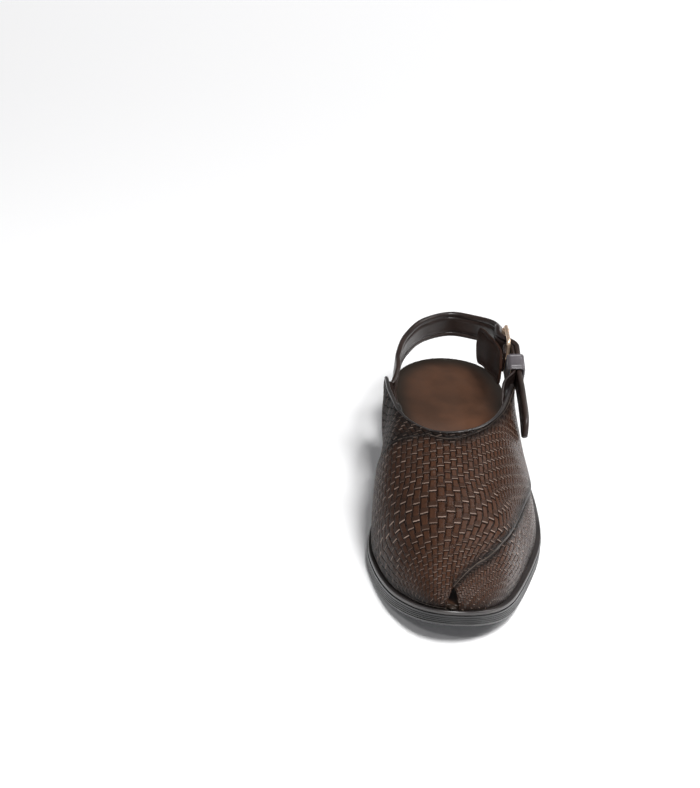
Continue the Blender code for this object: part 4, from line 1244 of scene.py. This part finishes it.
def build_eyelet(number, at, out, gold):
    """A rolled ring with a short neck that stands in the tail's hole."""
    outer, inner = 0.5 * EYELET_DIAMETER, 0.25 * EYELET_DIAMETER
    middle, spread_out = 0.5 * (outer + inner), 0.5 * (outer - inner)
    corners = [(inner, -STRAP_THICKNESS)]
    for k in range(9):
        turn = math.pi * k / 8
        corners.append((middle - spread_out * math.cos(turn), EYELET_FLANGE * math.sin(turn)))
    corners += [(inner + 0.3 * MM, -0.2 * MM), (inner + 0.3 * MM, -STRAP_THICKNESS)]
    eyelet = turned(f"tail_eyelet_ring_{number}", corners, 40)
    stand(eyelet, at + out * (0.5 * STRAP_THICKNESS + 0.05 * MM), out)
    dress(eyelet, gold, "rose_gold", f"tail_eyelet_{number}")


def build_strap(vamp, buckle, leather, gold):
    route = strap_route(vamp, buckle)
    strap = ribbon("heel_strap_leather", route, STRAP_WIDTH, STRAP_THICKNESS, round_end=9.5 * MM)
    low, high = prong_points(buckle)[8:10]
    reach = (high - low).normalized() * 2.0 * STRAP_THICKNESS
    holes = [peg(low - reach, high + reach, 0.5 * PRONG_WIRE + CLEARANCE)]
    for number, distance in enumerate(EYELET_DISTANCES, 1):
        at, _, _, out = stand_on(route, route_run(route)[-1] - distance)
        depth = out * STRAP_THICKNESS
        holes.append(peg(at - depth, at + depth, 0.25 * EYELET_DIAMETER))
        build_eyelet(number, at, out, gold)
    cut(strap, holes, 60.0)
    dress(strap, leather, "strap_leather", "heel_strap")
    return route


def peg(start, end, radius):
    """A round cutter between two points."""
    half = 0.5 * (end - start).length
    cutter = turned("hole", [(radius, half), (radius, -half), (0.0, -half), (0.0, half)], 24)
    stand(cutter, 0.5 * (start + end), end - start)
    return cutter


def prong_points(buckle):
    ring = 0.5 * (BUCKLE_WIRE + PRONG_WIRE) + CLEARANCE
    rest = 0.5 * (ROLLER_DIAMETER + PRONG_WIRE) + CLEARANCE
    points = []
    for k in range(8):
        turn = math.radians(200.0 - 34.0 * (7 - k))
        points.append(buckle.at(BUCKLE_LENGTH + ring * math.cos(turn), ring * math.sin(turn)))
    for share, out in ((0.72, 0.9 * MM), (0.50, rest + 1.6 * MM), (0.25, rest + 0.9 * MM), (-0.06, rest)):
        points.append(buckle.at(share * BUCKLE_LENGTH, out))
    return points


def build_buckle(buckle, gold):
    half = 0.5 * STRAP_WIDTH + 1.5 * MM + 0.5 * BUCKLE_WIRE
    corner = 2.2 * MM
    loop = [
        buckle.at(forward + corner * c, 0.0, across + corner * s)
        for forward, across, c, s in rounded_corners(0.0, BUCKLE_LENGTH, half, corner)
    ]
    frame_wire = tube("buckle_frame_wire", loop, 0.5 * BUCKLE_WIRE, cyclic=True, sides=20)
    dress(frame_wire, gold, "rose_gold", "buckle_frame")

    length = 2.0 * (half - corner) - 0.6 * MM
    bore, outer = 0.5 * BUCKLE_WIRE + 0.1 * MM, 0.5 * ROLLER_DIAMETER
    lip = 0.3 * MM
    corners = [
        (bore, -0.5 * length), (outer - lip, -0.5 * length), (outer, lip - 0.5 * length),
        (outer, 0.5 * length - lip), (outer - lip, 0.5 * length), (bore, 0.5 * length),
    ]
    roller = turned("buckle_roller_tube", corners, 40)
    stand(roller, buckle.roller, buckle.across)
    dress(roller, gold, "rose_gold", "buckle_roller")

    rows = [(*point, 0.0, 0.0, 1.0) for point in prong_points(buckle)]
    prong = tube("buckle_prong_wire", smooth_route(rows, 60)[:, :3], 0.5 * PRONG_WIRE, sides=16)
    dress(prong, gold, "rose_gold", "buckle_prong")


def build_tab(vamp, buckle, route, leather):
    fold = 0.5 * (BUCKLE_WIRE + TAB_THICKNESS) + CLEARANCE
    inside = WALL + 0.5 * TAB_THICKNESS + WING_ROOM
    bar = BUCKLE_LENGTH
    rows = []
    for forward, out, down in ((5 * MM, -1.15 * fold, 1 * MM), (2 * MM, -1.05 * fold, 0.0)):
        rows.append((*buckle.at(bar + forward, out, down), *(-buckle.out)))
    for k in range(7):
        turn = math.pi * (1.5 - k / 6.0)
        facing = buckle.forward * math.cos(turn) + buckle.out * math.sin(turn)
        rows.append((*(buckle.at(bar, 0.0) + facing * fold), *facing))
    under_strap = 0.5 * (STRAP_THICKNESS + TAB_THICKNESS) + CLEARANCE
    start = distance_to(route, buckle.at(bar, 0.0))
    for share in (0.45, 0.85, 1.30):
        at, _, _, out = stand_on(route, start + share * KEEPER_DISTANCE)
        rows.append((*(at - out * under_strap), *out))
    for u, v in TAB_END:
        at, normal = vamp.spot(u, v, -inside)
        rows.append((*at, *normal))
    tab = ribbon("chape_tab_leather", smooth_route(rows, 120), STRAP_WIDTH, TAB_THICKNESS, round_end=6.0 * MM)
    size = (3.4 * fold, 3.4 * fold, PRONG_WIRE + 2.0 * CLEARANCE)
    block = basic_mesh("slot", bmesh.ops.create_cube, Matrix.Diagonal((*size, 1.0)), size=1.0)
    slot = in_scene("slot", block)
    axes = Matrix((buckle.forward, buckle.out, buckle.across)).transposed().to_4x4()
    slot.matrix_world = Matrix.Translation(buckle.at(bar - 0.4 * fold, 0.0)) @ axes
    cut(tab, [slot], 60.0)
    dress(tab, leather, "strap_leather", "chape_tab")


def build_guard(buckle, leather):
    rows = [(*buckle.at(*line), *buckle.out) for line in GUARD_LINE]
    guard = ribbon(
        "guard_flap_leather", smooth_route(rows, 80), GUARD_WIDTH, GUARD_THICKNESS,
        round_start=4 * MM, round_end=7 * MM,
    )
    dress(guard, leather, "insole_leather", "guard_flap")


def build_keeper(buckle, route, leather):
    start = distance_to(route, buckle.at(BUCKLE_LENGTH, 0.0))
    at, _, side, out = stand_on(route, start + KEEPER_DISTANCE)
    stack = STRAP_THICKNESS + TAB_THICKNESS + 2.0 * CLEARANCE
    centre = at + out * (0.5 * (STRAP_THICKNESS - stack) - 2.0 * CLEARANCE)
    half_w = 0.5 * STRAP_WIDTH + 2.0 * CLEARANCE + 0.5 * KEEPER_THICKNESS
    half_t = 0.5 * stack + 4.0 * CLEARANCE + 0.5 * KEEPER_THICKNESS
    bend = 1.8 * MM
    rows = []
    for across, level, c, s in rounded_corners(-half_w, half_w, half_t, bend):
        facing = side * c + out * s
        rows.append((*(centre + side * across + out * level + facing * bend), *facing))
    keeper = ribbon("keeper_loop", rows, KEEPER_WIDTH, KEEPER_THICKNESS, closed=True, crease=1.2 * MM)
    dress(keeper, leather, "strap_leather", "keeper")


def build_insole(finish):
    def dish(mix, station):
        return 0.9 * MM * float(smoothstep(1.0 - abs(2.0 * mix - 1.0))) * (0.5 + 0.5 * float(rise(station)))

    round_edge = 1.0 * MM
    sides = [(0.0, 0.0), (0.55, 0.0)]
    for degrees in (25, 50, 75):
        turn = math.radians(degrees)
        sides.append((0.55 + 0.45 * math.sin(turn), round_edge * (1.0 - math.cos(turn))))
    sides.append((1.0, round_edge * 1.15))
    insole = layer(
        "insole_leather", 0.0, 1.0, sides, lambda y: midsole_top(y) + 0.1 * MM, insole_top,
        insole_margin, 130, 16, dish,
    )
    rim = outline(0.0, 1.0, 200)[1][::2]
    corners = insole.data.vertices
    gaps = [np.min(np.hypot(rim[:, 0] - corner.co.x, rim[:, 1] - corner.co.y)) for corner in corners]
    shade(insole.data, "rim", np.maximum(0.0, 1.0 - np.array(gaps) / RIM_SHADE))
    dress(insole, finish, "insole_leather", "insole")


def build_insole_tip(finish):
    """The foot bed's rounded end, which shows in the toe notch."""
    length = float(insole_margin(1.0))
    y = along(1.0) + length
    slope = float(insole_top(y) - insole_top(y - length)) / length
    half_sizes = (0.36 * NOTCH_WIDTH, length - 1.2 * MM, 0.48 * INSOLE_THICKNESS, 1.0)
    mesh = basic_mesh(
        "insole_tip", bmesh.ops.create_uvsphere,
        Matrix.Diagonal(half_sizes), Matrix.Rotation(math.atan(slope), 4, "X"),
        Matrix.Translation((0.0, y, float(midsole_top(y)) + 0.55 * INSOLE_THICKNESS)),
        u_segments=32, v_segments=20, radius=1.0,
    )
    tip = in_scene("insole_tip", mesh)
    smooth(tip)
    shade(mesh, "rim", np.full(len(mesh.vertices), 0.7))
    dress(tip, finish, "insole_leather")


def build_collar_roll(vamp, leather):
    """The turned edge that runs round the collar."""
    u = np.linspace(-0.998, 0.998, 300)
    v = np.ones((300, 1))
    rim = vamp.grid(u, v)[:, 0] - vamp.normals(u, v)[:, 0] * 0.45 * WALL
    rim[:, 2] -= 0.1 * MM
    roll = tube("collar_roll", rim, 1.2 * MM, sides=12)
    dress(roll, leather, "strap_leather")


# Floor, light and camera

def build_stage():
    r = FLOOR_REACH
    mesh = bpy.data.meshes.new("floor")
    mesh.from_pydata([(-r, -r, 0.0), (r, -r, 0.0), (r, r, 0.0), (-r, r, 0.0)], [], [(0, 1, 2, 3)])
    floor = in_scene("floor", mesh)
    mesh.materials.append(floor_finish())


def area_light(name, location, size, power):
    light = bpy.data.lights.new(name, "AREA")
    light.shape = "DISK"
    light.size = size
    light.energy = power
    obj = in_scene(name, light)
    obj.location = location
    obj.rotation_euler = (Vector(LIGHTS_AIM) - Vector(location)).to_track_quat("-Z", "Y").to_euler()


def build_lights():
    world = bpy.data.worlds.new("studio")
    world.use_nodes = True
    background = world.node_tree.nodes["Background"]
    background.inputs["Color"].default_value = (1.0, 1.0, 1.0, 1.0)
    background.inputs["Strength"].default_value = ROOM_BRIGHTNESS
    bpy.context.scene.world = world
    for name, (location, size, power) in LIGHTS.items():
        area_light(name, location, size, power)
    bpy.context.scene.view_settings.view_transform = "Standard"


def build_camera():
    a, e, r = VIEW_YAW, VIEW_ELEVATION, VIEW_ROLL
    back = Vector((math.sin(a) * math.cos(e), -math.cos(a) * math.cos(e), math.sin(e)))
    level = Vector((math.cos(a), math.sin(a), 0.0))
    upright = back.cross(level)
    right = math.cos(r) * level + math.sin(r) * upright
    up = -math.sin(r) * level + math.cos(r) * upright
    spot = Vector(VIEW_AIM) + back * VIEW_DISTANCE + right * VIEW_SHIFT[0] + up * VIEW_SHIFT[1]
    camera = bpy.data.cameras.new("camera")
    camera.sensor_width = SENSOR
    camera.lens = VIEW_FOCAL_PIXELS * SENSOR / max(VIEW_WIDTH, VIEW_HEIGHT)
    camera.clip_end = 50.0
    obj = in_scene("camera", camera)
    axes = Matrix((right, up, back)).transposed()
    obj.matrix_world = Matrix.Translation(spot) @ axes.to_4x4()
    bpy.context.scene.camera = obj


def build_treads(black):
    """The fine dots under the forepart and the heel."""
    def on_forepart(x, y):
        station = station_of(y)
        front = 0.439 - 0.059 * x / WAIST_WIDTH
        return front + 0.012 < station < 0.985 and abs(x) < half_width(station, x >= 0.0) - 3.2 * MM

    def on_heel(x, y):
        station = station_of(y)
        return 0.012 < station < breast(x) - 0.010 and abs(x) < half_width(station, x >= 0.0) - 3.0 * MM

    fore_studs = (FORE_STUDS, BALL_WIDTH, FORE_STUD_RADIUS)
    heel_studs = (HEEL_STUDS, HEEL_WIDTH, HEEL_STUD_RADIUS)
    dress(tread_dots("forepart_tread", FORE_DOTS, on_forepart, *fore_studs, underside), black, "rubber")
    dress(tread_dots("heel_tread", HEEL_DOTS, on_heel, *heel_studs, zero), black, "rubber")


def build_midsole(leather):
    edge, bevel = 0.5 * MM, 0.15 * MM
    sides = [(0.0, edge), (0.12, bevel), (0.25, 0.0), (0.70, 0.0), (0.88, bevel), (1.0, edge)]
    midsole = layer(
        "midsole_welt", 0.0, 1.0, sides, deck, midsole_top, lambda s: CLEARANCE + zero(s), 150, 6
    )
    dress(midsole, leather, "welt_leather", "midsole")


def main():
    build_camera()
    build_lights()
    build_stage()
    vamp, buckle = Vamp(), Buckle()
    gold, black = rose_gold(), rubber()
    strap_leather, welt_leather, guard_leather, keeper_leather_painted_reflection = (
        smooth_leather(name, *look) for name, look in SMOOTH_LEATHERS.items()
    )
    bed_leather = insole_leather()

    dress(build_outsole(), black, "rubber", "outsole")
    dress(build_heel(), black, "rubber", "heel")
    build_treads(black)
    build_midsole(welt_leather)
    build_insole(bed_leather)
    build_insole_tip(bed_leather)
    dress(build_upper(vamp), embossed_leather(), "embossed_leather", "upper")
    build_collar_roll(vamp, welt_leather)
    route = build_strap(vamp, buckle, strap_leather, gold)
    build_buckle(buckle, gold)
    build_tab(vamp, buckle, route, strap_leather)
    build_guard(buckle, guard_leather)
    build_keeper(buckle, route, keeper_leather_painted_reflection)


main()
